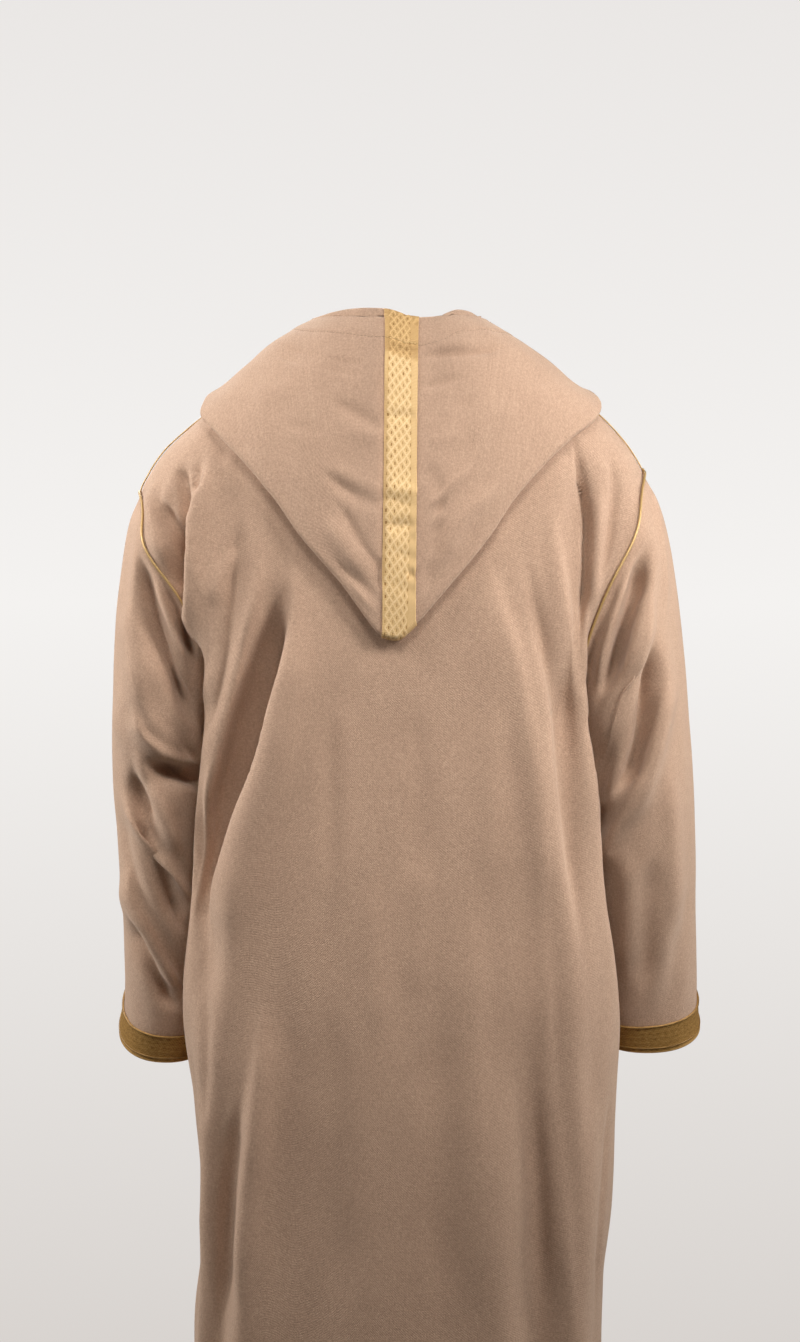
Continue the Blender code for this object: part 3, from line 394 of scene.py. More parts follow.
# ---- creases of each piece as seen square-on from the side they lie on: half width and rise
# (a trough is negative), how far they lean (0 is even, and one flank is steeper otherwise), then
# the points they run through, across (the wearer's left positive) and up from the origin, all in
# millimetres but the lean
BACK_CREASES = (
    (10, 13, 0.6, ((188, -112), (191, -140), (198, -163), (203, -189), (205, -218), (204, -247),
        (203, -276), (199, -306), (193, -345))),
    (7, -17, -0.4, ((210, -164), (211, -199), (212, -228), (209, -265))),
    (5, -5, 0, ((197, -122), (199, -140), (196, -154))),
    (4.5, 4, 0, ((204, -127), (205, -147), (202, -165))),
    (6, -11, 0.2, ((216, -121), (213, -143), (208, -165), (204, -181))),
    (5, 4.5, 0, ((228, -136), (228, -162), (224, -185), (219, -206), (214, -226))),
    (6, -15, -0.3, ((230, -158), (222, -181), (213, -199), (208, -218))),
    (8, 7, 0, ((240, -135), (244, -163), (237, -198), (226, -226))),
    (7, -3, 0, ((184, -83), (176, -102), (171, -127))),
    (7, 4, 0, ((153, -204), (165, -222), (176, -240), (181, -267))),
    (9, -9, 0, ((155, -170), (160, -219), (165, -267), (172, -315), (182, -359), (196, -403))),
    (9, 9, 0.2, ((134, -209), (141, -258), (153, -315), (168, -373), (182, -432), (197, -491))),
    (18, -26, -0.45, ((109, -225), (114, -253), (119, -288), (127, -327), (138, -369), (150, -414),
        (165, -456), (179, -500), (189, -544), (195, -588))),
    (15, 15, 0.5, ((101, -243), (107, -287), (112, -325), (120, -369), (133, -418), (150, -465),
        (164, -504), (174, -544), (179, -583), (184, -621))),
    (5, 4, 0.3, ((184, -405), (190, -442), (197, -491), (203, -540), (206, -580))),
    (6, -7, 0.2, ((152, -725), (163, -790), (169, -850), (172, -919), (176, -974))),
    (6, -4, 0, ((187, -631), (189, -704), (194, -783))),
    (10, 8, 0.3, ((134, -628), (134, -681), (140, -758), (148, -836), (154, -914), (156, -967))),
    (18, -4, 0, ((107, -604), (111, -720), (115, -836), (120, -961))),
    (3.5, -13, 0.2, ((-169, -100), (-176, -138), (-181, -189), (-180, -228), (-177, -262),
        (-174, -301))),
    (10, 7, -0.2, ((-146, -155), (-150, -204), (-157, -257), (-165, -315), (-178, -374),
        (-184, -432), (-192, -491), (-196, -549))),
    (8, -8, 0, ((-119, -204), (-130, -258), (-144, -315), (-156, -373), (-160, -431), (-166, -490),
        (-173, -548), (-177, -606))),
    (19, 7, -0.5, ((-78, -205), (-92, -258), (-110, -315), (-121, -373), (-131, -431),
        (-135, -499), (-137, -595))),
    (5, -4, 0, ((-207, -111), (-210, -149), (-207, -179), (-202, -208), (-195, -238))),
    (6, 5, 0, ((-194, -140), (-193, -189), (-191, -233), (-186, -276))),
    (4, 4, 0, ((-181, -252), (-177, -301), (-179, -340))),
    (13, 7, -0.4, ((-139, -547), (-141, -682), (-147, -760), (-155, -838), (-162, -916),
        (-168, -970))),
    (11, -2.5, 0, ((-121, -547), (-124, -672), (-127, -760), (-130, -837), (-133, -915),
        (-134, -969))),
    (2.5, -3, 0, ((-206, -731), (-201, -805), (-195, -883), (-191, -963))),
    (14, 2.6, 0, ((55, -344), (53, -450), (55, -565))),
    (10, -2.6, 0, ((68, -354), (65, -460), (67, -546))),
    (12, -2.6, 0, ((-11, -344), (-18, -440), (-9, -546))),
    (13, 3, 0, ((-86, -344), (-88, -450), (-86, -546))),
    (12, 2.6, 0, ((29, -527), (25, -603), (24, -680))),
    (11, 2.6, 0, ((-23, -498), (-20, -575), (-18, -651))),
    (20, -4, 0, ((68, -642), (62, -776), (60, -957))),
    (16, -4, 0, ((-34, -642), (-35, -785), (-37, -958))),
    (20, 6.5, -0.2, ((-66, -527), (-68, -604), (-70, -728), (-74, -833), (-78, -962))),
)
LEFT_SLEEVE_CREASES = (
    (10, -19, 0, ((257, -201), (246, -255), (232, -302), (221, -331), (209, -358), (194, -384))),
    (6, -12, 0, ((235, -235), (219, -259), (209, -288), (202, -320))),
    (6, 6, 0, ((245, -229), (231, -261), (219, -292), (208, -323))),
    (13, 8, 0, ((266, -247), (261, -296), (254, -345), (240, -382), (218, -405))),
    (9, 8, -0.5, ((259, -358), (250, -386), (232, -403), (212, -413), (190, -419))),
    (8, -15, 0, ((246, -417), (225, -424), (207, -430), (181, -440))),
    (10, 7, 0, ((258, -398), (246, -436), (228, -476), (210, -514))),
    (10, -15, 0.1, ((264, -412), (259, -439), (249, -484), (235, -531), (220, -566), (203, -597))),
    (9, 9, -0.4, ((268, -513), (265, -546), (249, -586), (233, -618), (212, -653))),
    (9, -14, 0, ((269, -565), (262, -591), (249, -616), (233, -644), (214, -668))),
)
RIGHT_SLEEVE_CREASES = (
    (5, -8, 0.3, ((-217, -220), (-206, -247), (-196, -269), (-188, -297), (-183, -327),
        (-180, -356))),
    (7, 8, 0, ((-227, -218), (-215, -257), (-206, -286), (-198, -315), (-193, -345))),
    (8, -21, 0.2, ((-242, -203), (-231, -237), (-223, -262), (-215, -291), (-209, -315),
        (-202, -339), (-195, -356))),
    (12, 10, -0.3, ((-247, -247), (-236, -294), (-225, -335), (-215, -369), (-205, -399),
        (-195, -421))),
    (8, -18, 0.3, ((-245, -296), (-241, -345), (-235, -388), (-226, -418), (-214, -439),
        (-204, -448))),
    (11, 6, 0, ((-258, -276), (-257, -350), (-249, -405), (-236, -452), (-211, -486))),
    (4, 3, 0, ((-247, -133), (-255, -177), (-260, -227), (-262, -276))),
    (13, -6, 0, ((-250, -502), (-246, -556), (-244, -612), (-242, -653))),
    (11, 4, 0, ((-220, -492), (-226, -562), (-225, -638))),
    (9, 4, 0, ((-266, -413), (-271, -503), (-276, -599))),
)
HOOD_CREASES = (
    (8, -3.4, 0, ((65, -65), (43, -78), (24, -90), (15, -95))),
    (5, -1.3, 0, ((115, -89), (73, -95))),
    (9, 2, 0, ((55, -97), (16, -99))),
    (6, -2.9, 0, ((74, -135), (55, -150), (39, -160), (17, -165))),
    (8, 2.1, 0, ((68, -126), (47, -141), (16, -154))),
    (5, -3.2, 0, ((58, -164), (46, -188), (36, -207), (27, -216))),
    (9, 3.9, 0, ((72, -177), (57, -202), (43, -221), (30, -237))),
    (6, -3.1, 0, ((64, -217), (48, -235), (29, -249), (22, -260))),
    (4.5, 3.9, 0, ((55, -241), (39, -255), (27, -272))),
    (5, -3.9, 0, ((29, -213), (21, -230), (22, -251))),
    (3, -3.2, 0, ((15, -10), (15, -105), (16, -182), (18, -258))),
    (4, -3.9, 0, ((-20, -24), (-39, -19), (-67, -17), (-105, -10))),
    (6, 2.6, 0, ((-19, -15), (-44, -9), (-77, -7))),
    (4, -2.6, 0, ((-20, -53), (-45, -46), (-63, -42))),
    (5, -1.3, 0, ((-45, -73), (-72, -65))),
    (7, 1.8, 0, ((-24, -105), (-68, -99))),
    (6, -2.6, 0, ((-24, -127), (-34, -147), (-38, -165))),
    (4, -3.9, 0, ((-38, -162), (-38, -174))),
    (3.5, 2.6, 0, ((-26, -170), (-38, -159), (-54, -143), (-70, -129))),
    (9, 3.9, 0, ((-97, -146), (-76, -163), (-58, -183), (-45, -208), (-38, -231))),
    (6, -3.2, 0, ((-37, -180), (-35, -222))),
    (5, -2.6, 0, ((-30, -216), (-27, -251))),
    (6, -2.1, 0, ((14, -81), (-17, -81))),
    (6, -2.3, 0, ((14, -187), (-16, -187))),
    (7, 2.3, 0, ((14, -151), (-17, -155))),
    (5, -2, 0, ((-6, -235), (-15, -233))),
    (4, -2.1, 0, ((15, -14), (-16, -18))),
    (12, -2.6, 0, ((99, -8), (108, -28))),
    (14, -2.1, 0, ((54, -20), (59, -43))),
    (10, 1.6, 0, ((98, -49), (147, -62))),
    (10, 1.8, 0, ((-115, -64), (-66, -104))),
)
FRONT_CREASES = (
    (9, 6.5, 0, ((-185, -120), (-190, -200), (-176, -330))),
    (8, -6.4, 0, ((-160, -110), (-166, -200), (-150, -330))),
    (12, 6.5, 0, ((-140, -150), (-135, -300), (-120, -480))),
    (10, -5.2, 0, ((-100, -170), (-108, -330), (-104, -560))),
    (14, 5.2, 0, ((-60, -260), (-66, -480), (-60, -760))),
    (16, -5.2, 0, ((-10, -300), (-16, -560), (-14, -900))),
    (14, 5.2, 0, ((40, -280), (46, -560), (42, -900))),
    (11, -6.5, 0, ((95, -160), (102, -330), (112, -560))),
    (9, 7.2, 0, ((150, -110), (148, -220), (158, -360))),
    (8, -6.4, 0, ((176, -110), (178, -190), (170, -300))),
    (7, 5.2, 0, ((200, -120), (199, -200), (188, -310))),
    (12, 6.5, 0, ((130, -420), (150, -620), (158, -860))),
    (12, -6.5, 0, ((-128, -440), (-150, -640), (-160, -900))),
    (6, -4.8, 0, ((8, -118), (34, -160), (60, -230))),
    (6, -4.8, 0, ((-8, -118), (-32, -158), (-62, -226))),
    (14, 6.5, 0, ((-150, -800), (-152, -1000), (-158, -1330))),
    (14, -6.5, 0, ((-96, -820), (-94, -1040), (-98, -1330))),
    (14, 6.5, 0, ((104, -840), (100, -1060), (106, -1330))),
    (12, -6.5, 0, ((152, -900), (150, -1100), (156, -1330))),
)
# which creases a piece takes: the list, the side on which it lies (1 is the back, -1 the front)
# and 1, or -1 for a list that is mirrored
CREASE_SIDES = {
    "back": ((BACK_CREASES, 1.0, 1.0),),
    "front": ((FRONT_CREASES, -1.0, 1.0),),
    "hood": ((HOOD_CREASES, 1.0, 1.0),),
    "sleeve_left": ((LEFT_SLEEVE_CREASES, 1.0, 1.0), (RIGHT_SLEEVE_CREASES, -1.0, -1.0)),
    "sleeve_right": ((RIGHT_SLEEVE_CREASES, 1.0, 1.0), (LEFT_SLEEVE_CREASES, -1.0, -1.0)),
}
# how a crease is drawn: points from one knot to the next, how far it is felt in half widths, the
# share of its length at each end over which it dies out, its width and its rise at its very ends
# as shares, and how far the cloth turns away before its creases fade
LINE_STEPS = 7
CREASE_REACH = 3.2
CREASE_TAPER = 0.26
CREASE_END_WIDTH = 0.60
CREASE_END_RISE = 0.06
CREASE_FACING = 0.30
# slow lumps: size in metres, seed and share of each set, and how much finer they are along each
# axis (less than 1 draws them out)
LUMPS = ((0.045, 3.1, 1.0), (0.020, 7.7, 0.5))
LUMP_SHAPE = (1.0, 1.0, 0.35)


# ---- shapes
def smooth(knots, values, at):
    """A smooth curve through a short column of values, without overshoot."""
    knots = np.asarray(knots, float)
    values = np.asarray(values, float)
    if knots[0] > knots[-1]:
        knots = knots[::-1]
        values = values[::-1]
    span = np.diff(knots)
    slope = np.diff(values) / span
    tangent = np.concatenate([slope[:1], np.zeros(len(slope) - 1), slope[-1:]])
    both = slope[1:] * slope[:-1]
    mean = 2.0 * both / np.where(both > 0.0, slope[1:] + slope[:-1], 1.0)
    tangent[1:-1] = np.where(both > 0.0, mean, 0.0)
    at = np.clip(np.asarray(at, float), knots[0], knots[-1])
    place = np.clip(np.searchsorted(knots, at) - 1, 0, len(span) - 1)
    t = (at - knots[place]) / span[place]
    first = values[place] * (1 + 2 * t) * (1 - t) ** 2
    second = values[place + 1] * t * t * (3 - 2 * t)
    pull = tangent[place] * t * (1 - t) ** 2 - tangent[place + 1] * t * t * (1 - t)
    return first + second + pull * span[place]


def ease(value):
    """0 up to 0, 1 from 1, smooth between."""
    t = np.clip(value, 0.0, 1.0)
    return t * t * (3.0 - 2.0 * t)


def power(value, exponent):
    return np.sign(value) * np.abs(value) ** exponent


def unit(vectors):
    return vectors / np.maximum(np.linalg.norm(vectors, axis=-1, keepdims=True), 1e-12)


def lengths(path):
    """Distance at each point along a path, or down each column of a grid."""
    steps = np.linalg.norm(np.diff(path, axis=0), axis=-1)
    return np.concatenate([np.zeros((1, *steps.shape[1:])), np.cumsum(steps, axis=0)])


def surface_normal(point, a, b):
    """Direction at right angles to the surface that point gives for two values."""
    first = point(a + STEP, b) - point(a - STEP, b)
    second = point(a, b + STEP) - point(a, b - STEP)
    return unit(np.cross(first, second))


def section(column, z):
    """A column of the body's table at a height."""
    return smooth(BODY_SECTIONS["z"], BODY_SECTIONS[column], z)


def bare_body(angle, z):
    """The body without folds, at an angle round from the middle of the back and a height."""
    side = np.sin(angle)
    facing = np.cos(angle)
    wide = np.where(side > 0.0, section("left", z), section("right", z))
    deep = np.where(facing > 0.0, section("back", z), section("front", z))
    square = section("square", z)
    reach = (np.abs(side) ** square + np.abs(facing) ** square) ** (-1.0 / square)
    y = deep * reach * facing
    pressed = section("press", z) * np.exp(-((y - section("press_y", z)) / PRESS_REACH) ** 4)
    x = wide * reach * side * (1.0 - pressed)
    return np.stack([x, y, z + np.zeros_like(x)], axis=-1)


def bare_normal(angle, z):
    """Outward direction of the body without folds."""
    return -surface_normal(bare_body, angle, z)


def fold_rise(angle, z):
    """How far the folds stand out or sink in."""
    rise = np.zeros(np.broadcast(angle, z).shape)
    for z0, angle0, z1, angle1, half_width, height in BODY_FOLDS:
        along = (z0 - z) / (z0 - z1)
        centre = np.radians(angle0 + (angle1 - angle0) * np.clip(along, 0.0, 1.0))
        away = (angle - centre + math.pi) % (2 * math.pi) - math.pi
        shape = np.exp(-((away * FOLD_RADIUS / half_width) ** 2))
        starts = ease((z0 - z) / FOLD_FADE)
        ends = 1.0 if z1 <= HEM_Z else ease((z - z1) / FOLD_FADE + 1.0)
        rise = rise + height * shape * starts * ends
    return rise


def armhole_ends(side):
    """Shoulder point and underarm point: x and z of each, on the wearer's own side."""
    top_z = ARMHOLES[side]["top_z"]
    under_x = section(side, UNDERARM_Z) * (1.0 - section("press", UNDERARM_Z))
    return float(section(side, top_z)), top_z, float(under_x), UNDERARM_Z


def armhole_bow(side, turn):
    """How far the armhole seam bows outwards from a straight line."""
    upper = np.exp(-((np.arccos(np.cos(turn)) - BOW_TURN) / BOW_REACH) ** 2)
    return ARMHOLES[side]["bow_top"] * upper + ARMHOLES[side]["bow"] * np.abs(np.sin(turn))


def armhole_point(side, turn):
    """A point of the armhole; turn runs from the shoulder point over the back."""
    hole = ARMHOLES[side]
    top_x, top_z, under_x, under_z = armhole_ends(side)
    x = 0.5 * (top_x + under_x) + 0.5 * (top_x - under_x) * np.cos(turn)
    y = hole["depth"] * np.sin(turn)
    z = 0.5 * (top_z + under_z) + 0.5 * (top_z - under_z) * np.cos(turn)
    return np.stack([hole["way"] * (x + armhole_bow(side, turn)), y, z], axis=-1)


def armhole_turn(level):
    return math.pi * np.clip(level - YOKE_END, 0.0, 1.0)


def edge_z(side, level, neck_z):
    """Height of a panel's side edge: the shoulder seam, the armhole, then the side seam."""
    hole = ARMHOLES[side]
    yoke = neck_z + (hole["top_z"] - neck_z) * np.clip(level, 0.0, 1.0)
    arm = armhole_point(side, armhole_turn(level))[..., 2]
    skirt = UNDERARM_Z + (HEM_Z - UNDERARM_Z) * (level - ARMHOLE_END)
    return np.where(level <= YOKE_END, yoke, np.where(level <= ARMHOLE_END, arm, skirt))


def beside_armhole(level):
    return (level > YOKE_END) & (level < ARMHOLE_END)


def panel_z(side, across, level, neck_z):
    """Height inside a panel: as its side edge near that edge, evenly spread further in."""
    edge = edge_z(side, level, neck_z)
    top = ARMHOLES[side]["top_z"]
    even = top + (UNDERARM_Z - top) * np.clip(level - YOKE_END, 0.0, 1.0)
    near = ease((np.abs(across) - EVEN_SHARE) / (1.0 - EVEN_SHARE))
    return np.where(beside_armhole(level), even + (edge - even) * near, edge)


def edge_turned(side, level, facing):
    """How far round the panel's side edge lies, as an angle from the panel's own middle."""
    point = armhole_point(side, armhole_turn(level))
    square = section("square", point[..., 2])
    deep = section("back" if facing > 0 else "front", point[..., 2])
    share_y = np.clip(point[..., 1] / deep, 0.0, 1.0)
    turned = np.arctan2((1.0 - share_y ** square) ** (1.0 / square), share_y)
    return np.where(beside_armhole(level), turned, 0.5 * math.pi)


def panel_point(facing, across, level):
    """A point of the back (facing 1) or the front (facing -1). Across runs from -1 on the
    wearer's right to 1 on the left, level from the neck through the armhole to the hem."""
    across, level = np.broadcast_arrays(np.asarray(across, float), np.asarray(level, float))
    left_share = 0.5 * (1.0 + np.clip(across, -1.0, 1.0))
    turned = np.where(across > 0.0, edge_turned("left", level, facing),
                      edge_turned("right", level, facing))
    turned = 1.0 - turned / (0.5 * math.pi)
    own_angle = 0.5 * math.pi * across * (1.0 - np.abs(across) * turned)
    neck_angle = np.degrees(np.abs(across) * 0.5 * math.pi)
    if facing < 0:
        neck_angle = 180.0 - neck_angle
    neck_z = smooth(NECK_EDGE["angle"], NECK_EDGE["z"], neck_angle)
    z = (panel_z("left", across, level, neck_z) * left_share
         + panel_z("right", across, level, neck_z) * (1.0 - left_share))
    angle = own_angle if facing > 0 else math.pi - own_angle
    point = bare_body(angle, z)
    near = ease((np.abs(across) - BEND_SHARE) / (1.0 - BEND_SHARE))
    for side in ("left", "right"):
        way = ARMHOLES[side]["way"]
        hole = armhole_point(side, armhole_turn(level))
        hole[..., 1] *= facing
        end_angle = way * edge_turned(side, level, facing)
        end_angle = end_angle if facing > 0 else math.pi - end_angle
        shift = hole - bare_body(end_angle, hole[..., 2])
        share = np.where(beside_armhole(level) & (way * across > 0.0), near, 0.0)
        point = point + shift * share[..., None]
    beside = ease((np.abs(across) - FADE_SHARES[0]) / FADE_SHARES[1])
    above = ease((ARMHOLE_END + FADE_LEVELS[0] - level) / FADE_LEVELS[1])
    away = bare_normal(angle, z)
    away[..., 2] = 0.0
    return point + unit(away) * (fold_rise(angle, z) * (1.0 - beside * above))[..., None]


def panel_normal(facing, across, level):
    """Outward direction of a panel."""
    return surface_normal(lambda a, b: panel_point(facing, a, b), across, level) * facing


def sleeve_table(side):
    """The sleeve's sections with the armhole put first, and how far along each one lies."""
    depth = ARMHOLES[side]["depth"]
    first = (*armhole_ends(side), depth, -depth, 0.0)
    table = {column: (start, *SLEEVES[side][column])
             for column, start in zip(SLEEVE_COLUMNS, first)}
    runs = np.hypot(np.diff(table["out_x"]), np.diff(table["out_z"]))
    return np.concatenate([[0.0], np.cumsum(runs)]), table


def sleeve_point(side, turn, along):
    """A point of a sleeve; along runs from 0 at the armhole to 1 at the cuff."""
    knots, table = sleeve_table(side)
    knots = knots / knots[-1]
    out_x, out_z, in_x, in_z, back_y, front_y, tilt = (
        smooth(knots, table[column], along) for column in SLEEVE_COLUMNS
    )
    square = 1.0 + (SLEEVE_SQUARE - 1.0) * ease(along / SLEEVE_BLEND)
    across = power(np.cos(turn), square)
    depth = power(np.sin(turn), square)
    middle_y = 0.5 * (back_y + front_y)
    half_y = 0.5 * (back_y - front_y)
    x = 0.5 * (out_x + in_x) + 0.5 * (out_x - in_x) * across
    x = x + armhole_bow(side, turn) * (1.0 - ease(along / SLEEVE_BLEND))
    z = 0.5 * (out_z + in_z) + 0.5 * (out_z - in_z) * across
    y = middle_y + half_y * depth
    z = z - half_y * depth * np.tan(np.radians(tilt))
    way = ARMHOLES[side]["way"]
    point = np.stack([way * x, y, z], axis=-1)
    flat = np.zeros_like(x)
    away = np.stack([way * np.cos(turn) + flat, np.sin(turn) + flat, flat], axis=-1)
    rise = np.zeros(x.shape)
    for along0, turn0, along1, turn1, half_width, height in SLEEVE_FOLDS[side]:
        run = np.clip((along - along0) / (along1 - along0), 0.0, 1.0)
        centre = turn0 + (turn1 - turn0) * run
        off = (np.degrees(turn) - centre + 180.0) % 360.0 - 180.0
        off_end = np.maximum(np.maximum(along0 - along, along - along1), 0.0) * SLEEVE_LENGTH
        distance = np.hypot(np.radians(off) * SLEEVE_RADIUS, off_end)
        rise = rise + height * np.exp(-((distance / half_width) ** 2))
    rise = rise * ease(along / CALM_TOP) * ease((1.0 - along) / CALM_CUFF)
    return point + away * rise[..., None]


def sleeve_normal(side, turn, along):
    """Outward direction of a sleeve."""
    way = -ARMHOLES[side]["way"]
    return surface_normal(lambda a, b: sleeve_point(side, a, b), turn, along) * way


def hood_column(column, places):
    return smooth(HOOD_COLUMNS["place"], HOOD_COLUMNS[column], places)


def off_body(angle, z, lift):
    """A point that stands off the body."""
    return bare_body(angle, z) + bare_normal(angle, z) * np.asarray(lift)[..., None]


def hood_angle(angle0, z0, angle1, z1, share):
    """Angle on the way between two points: straight across the back, round at the sides."""
    turned = angle0 + (angle1 - angle0) * share
    x0 = bare_body(angle0, z0)[..., 0]
    x1 = bare_body(angle1, z1)[..., 0]
    z = z0 + (z1 - z0) * share
    x = x0 + (x1 - x0) * share
    wide = np.where(x > 0.0, section("left", z), section("right", z))
    share_x = np.clip(x / wide, -1.0, 1.0)
    square = section("square", z)
    share_y = (1.0 - np.abs(share_x) ** square) ** (1.0 / square)
    straight = np.arctan2(share_x, share_y)
    return turned + (straight - turned) * ease((ON_BACK[0] - np.abs(angle0)) / ON_BACK[1])


def crease_rise(creases, across, up):
    """How far a list's creases stand out or sink in at points seen square-on."""
    flat = np.stack([across, up], axis=-1)
    rise = np.zeros(across.shape)
    for half_width, height, lean, line in creases:
        knots = np.array(line, float) * MM
        run = lengths(knots)
        places = np.linspace(0.0, run[-1], LINE_STEPS * (len(knots) - 1) + 1)
        path = np.stack([smooth(run, knots[:, 0], places), smooth(run, knots[:, 1], places)], -1)
        reach = CREASE_REACH * half_width * (1.0 + abs(lean)) * MM
        near = ((flat > path.min(axis=0) - reach) & (flat < path.max(axis=0) + reach)).all(-1)
        if not near.any():
            continue
        spots = flat[near]
        nearest = np.full(len(spots), np.inf)
        along = np.zeros(len(spots))
        side = np.zeros(len(spots))
        for number, (start, end) in enumerate(zip(path[:-1], path[1:])):
            way = end - start
            share = np.clip((spots - start) @ way / (way @ way), 0.0, 1.0)
            away = np.linalg.norm(spots - start - share[:, None] * way, axis=-1)
            closer = away < nearest
            nearest = np.where(closer, away, nearest)
            along = np.where(closer, (number + share) / (len(path) - 1), along)
            turned = way[0] * (spots - start)[:, 1] - way[1] * (spots - start)[:, 0]
            side = np.where(closer, np.sign(turned), side)
        taper = ease(along / CREASE_TAPER) * ease((1.0 - along) / CREASE_TAPER)
        width = half_width * MM * (CREASE_END_WIDTH + (1.0 - CREASE_END_WIDTH) * taper)
        width = width * (1.0 - lean * side)
        crest = height * MM * (CREASE_END_RISE + (1.0 - CREASE_END_RISE) * taper)
        rise[near] += crest * np.exp(-(nearest / width) ** 2)
    return rise


def lumps(points, size, seed):
    """Slow uneven rise and fall of a hanging cloth, longer downwards than across."""
    spots = points.reshape(-1, 3) * np.array(LUMP_SHAPE) / size + seed
    values = [noise.noise(Vector(spot)) for spot in spots]
    return np.array(values).reshape(points.shape[:-1])


def grid_normal(grid, facing, row=None):
    """Directions at right angles to a grid of points, turned so that they face the back
    (facing 1) or the front (facing -1) at the middle of the given row, or of the grid."""
    normal = unit(np.cross(np.gradient(grid, axis=0), np.gradient(grid, axis=1)))
    row = len(grid) // 2 if row is None else row
    return normal if normal[row, grid.shape[1] // 2, 1] * facing > 0.0 else -normal


def creased(name, grid, normal, hold, cloth):
    """The grid with its creases and slow lumps, both held back where hold is 0."""
    rise = np.zeros(grid.shape[:2])
    for creases, facing, mirror in CREASE_SIDES[name]:
        seen = ease(facing * normal[..., 1] / CREASE_FACING)
        rise += crease_rise(creases, mirror * grid[..., 0], grid[..., 2]) * seen
    uneven = sum(share * lumps(grid, size, seed) for size, seed, share in LUMPS)
    rise = rise * cloth.crease + cloth.lump * uneven
    return grid + normal * (rise * hold)[..., None]


def panel_grid(name, facing, columns, cloth):
    """The back or front panel, from the neck to the hem, with its creases."""
    across = np.linspace(-1.0, 1.0, columns + 1)
    levels = np.unique(np.concatenate([np.linspace(start, start + 1, rows)
                                       for start, rows in enumerate(PANEL_ROWS)]))[:, None]
    grid = panel_point(facing, across[None, :], levels)
    edge = 1.0 - np.abs(across)[None, :]
    start, end, soft = ARM_HOLD
    in_arm = ease((levels - start) / soft) * ease((end - levels) / soft)
    hold = ease(edge / (SEAM_HOLD[0] + SEAM_HOLD[1] * in_arm)) * ease(levels / NECK_HOLD)
    grid = creased(name, grid, grid_normal(grid, facing), hold, cloth)
    sink = np.exp(-(edge * PANEL_HALF / GROOVE[0]) ** 2) * (levels > GROOVE_LEVEL) * GROOVE[1]
    return grid - grid_normal(grid, facing) * sink[..., None]


def sleeve_grid(side, columns, along, cloth):
    """A sleeve, round and down, with its creases; the last column meets the first."""
    turns = np.linspace(0.0, 2.0 * math.pi, columns + 1)
    grid = sleeve_point(side, turns[None, :], along[:, None])
    hold = ease(along / SLEEVE_HOLD[0]) * ease((1.0 - along) / SLEEVE_HOLD[1])
    grid = creased("sleeve_" + side, grid, round_normal(grid), hold[:, None], cloth)
    grid[:, -1] = grid[:, 0]
    return grid


def round_normal(grid):
    """Outward normals of a sleeve's grid, the seam column shared."""
    wide = np.concatenate([grid[:, -2:-1], grid, grid[:, 1:2]], axis=1)
    normal = unit(np.cross(np.gradient(wide, axis=0), np.gradient(wide, axis=1)))[:, 1:-1]
    centre = grid[:, :-1].mean(axis=1, keepdims=True)
    if np.sum(normal * (grid - centre)) < 0.0:
        normal = -normal
    normal[:, -1] = normal[:, 0]
    return normal


def hood_surface(places):
    """The middle of the hood's wall, from the neck seam down, round the fold and up again, and
    for each row how far up the outer layer it lies (negative below it)."""
    under_rows, fold_rows, outer_rows = HOOD_ROWS
    fold_angle, edge_angle = (np.radians(hood_column(column, places))
                              for column in ("fold_angle", "edge_angle"))
    fold_z, edge_height, stand_off = (hood_column(column, places)
                                      for column in ("fold_z", "edge_z", "stand_off"))
    neck_height = smooth(NECK_EDGE["angle"], NECK_EDGE["z"], np.abs(np.degrees(edge_angle)))
    ridge, ridge_neck = (np.exp(-((np.abs(angle) - 0.5 * math.pi) / RIDGE_WIDTH) ** 2)
                         for angle in (fold_angle, edge_angle))
    rows = []
    shares = []
    for share in np.linspace(0.0, 1.0, under_rows + 1):
        height = neck_height + (fold_z - neck_height) * share
        angle = hood_angle(edge_angle, neck_height, fold_angle, fold_z, share)
        over_seam = ridge_neck + (ridge - ridge_neck) * share
        rises = ease(share / HOOD_NECK_SHARES[0])
        clear = HOOD_CLEAR + (HOOD_RIDGE_CLEAR - HOOD_CLEAR) * over_seam * rises
        sinks = max(1.0 - share / HOOD_NECK_SHARES[1], 0.0)
        clear = clear - (HOOD_CLEAR - HOOD_NECK_CLEAR) * sinks
        rows.append(off_body(angle, height, clear))
        shares.append(-1.0)
    under = HOOD_CLEAR + (HOOD_RIDGE_CLEAR - HOOD_CLEAR) * ridge
    start = off_body(fold_angle, fold_z, under)
    down = unit(start - rows[-2])
    out = bare_normal(fold_angle, fold_z)
    for number in range(1, fold_rows + 1):
        bend = math.pi * number / (fold_rows + 1)
        rows.append(start + out * (HOOD_FOLD_RADIUS * (1.0 - math.cos(bend)))
                    + down * (HOOD_FOLD_RADIUS * math.sin(bend)))
        # from this part of the fold on, the cloth counts as the layer on top
        shares.append(-0.5 if number < 0.6 * fold_rows else 0.0)
    folded = under + 2.0 * HOOD_FOLD_RADIUS
    for share in np.linspace(0.0, 1.0, outer_rows + 1):
        height = fold_z + (edge_height - fold_z) * share
        angle = hood_angle(fold_angle, fold_z, edge_angle, edge_height, share)
        lift = folded + (stand_off - folded) * share
        middle = 4.0 * share * (1.0 - share)
        lift = lift + HOOD_BELLY * middle * (np.exp(-(angle / HOOD_BELLY_WIDTH) ** 2) - ridge)
        rows.append(off_body(angle, height, lift))
        shares.append(share)
    return np.array(rows), np.array(shares)


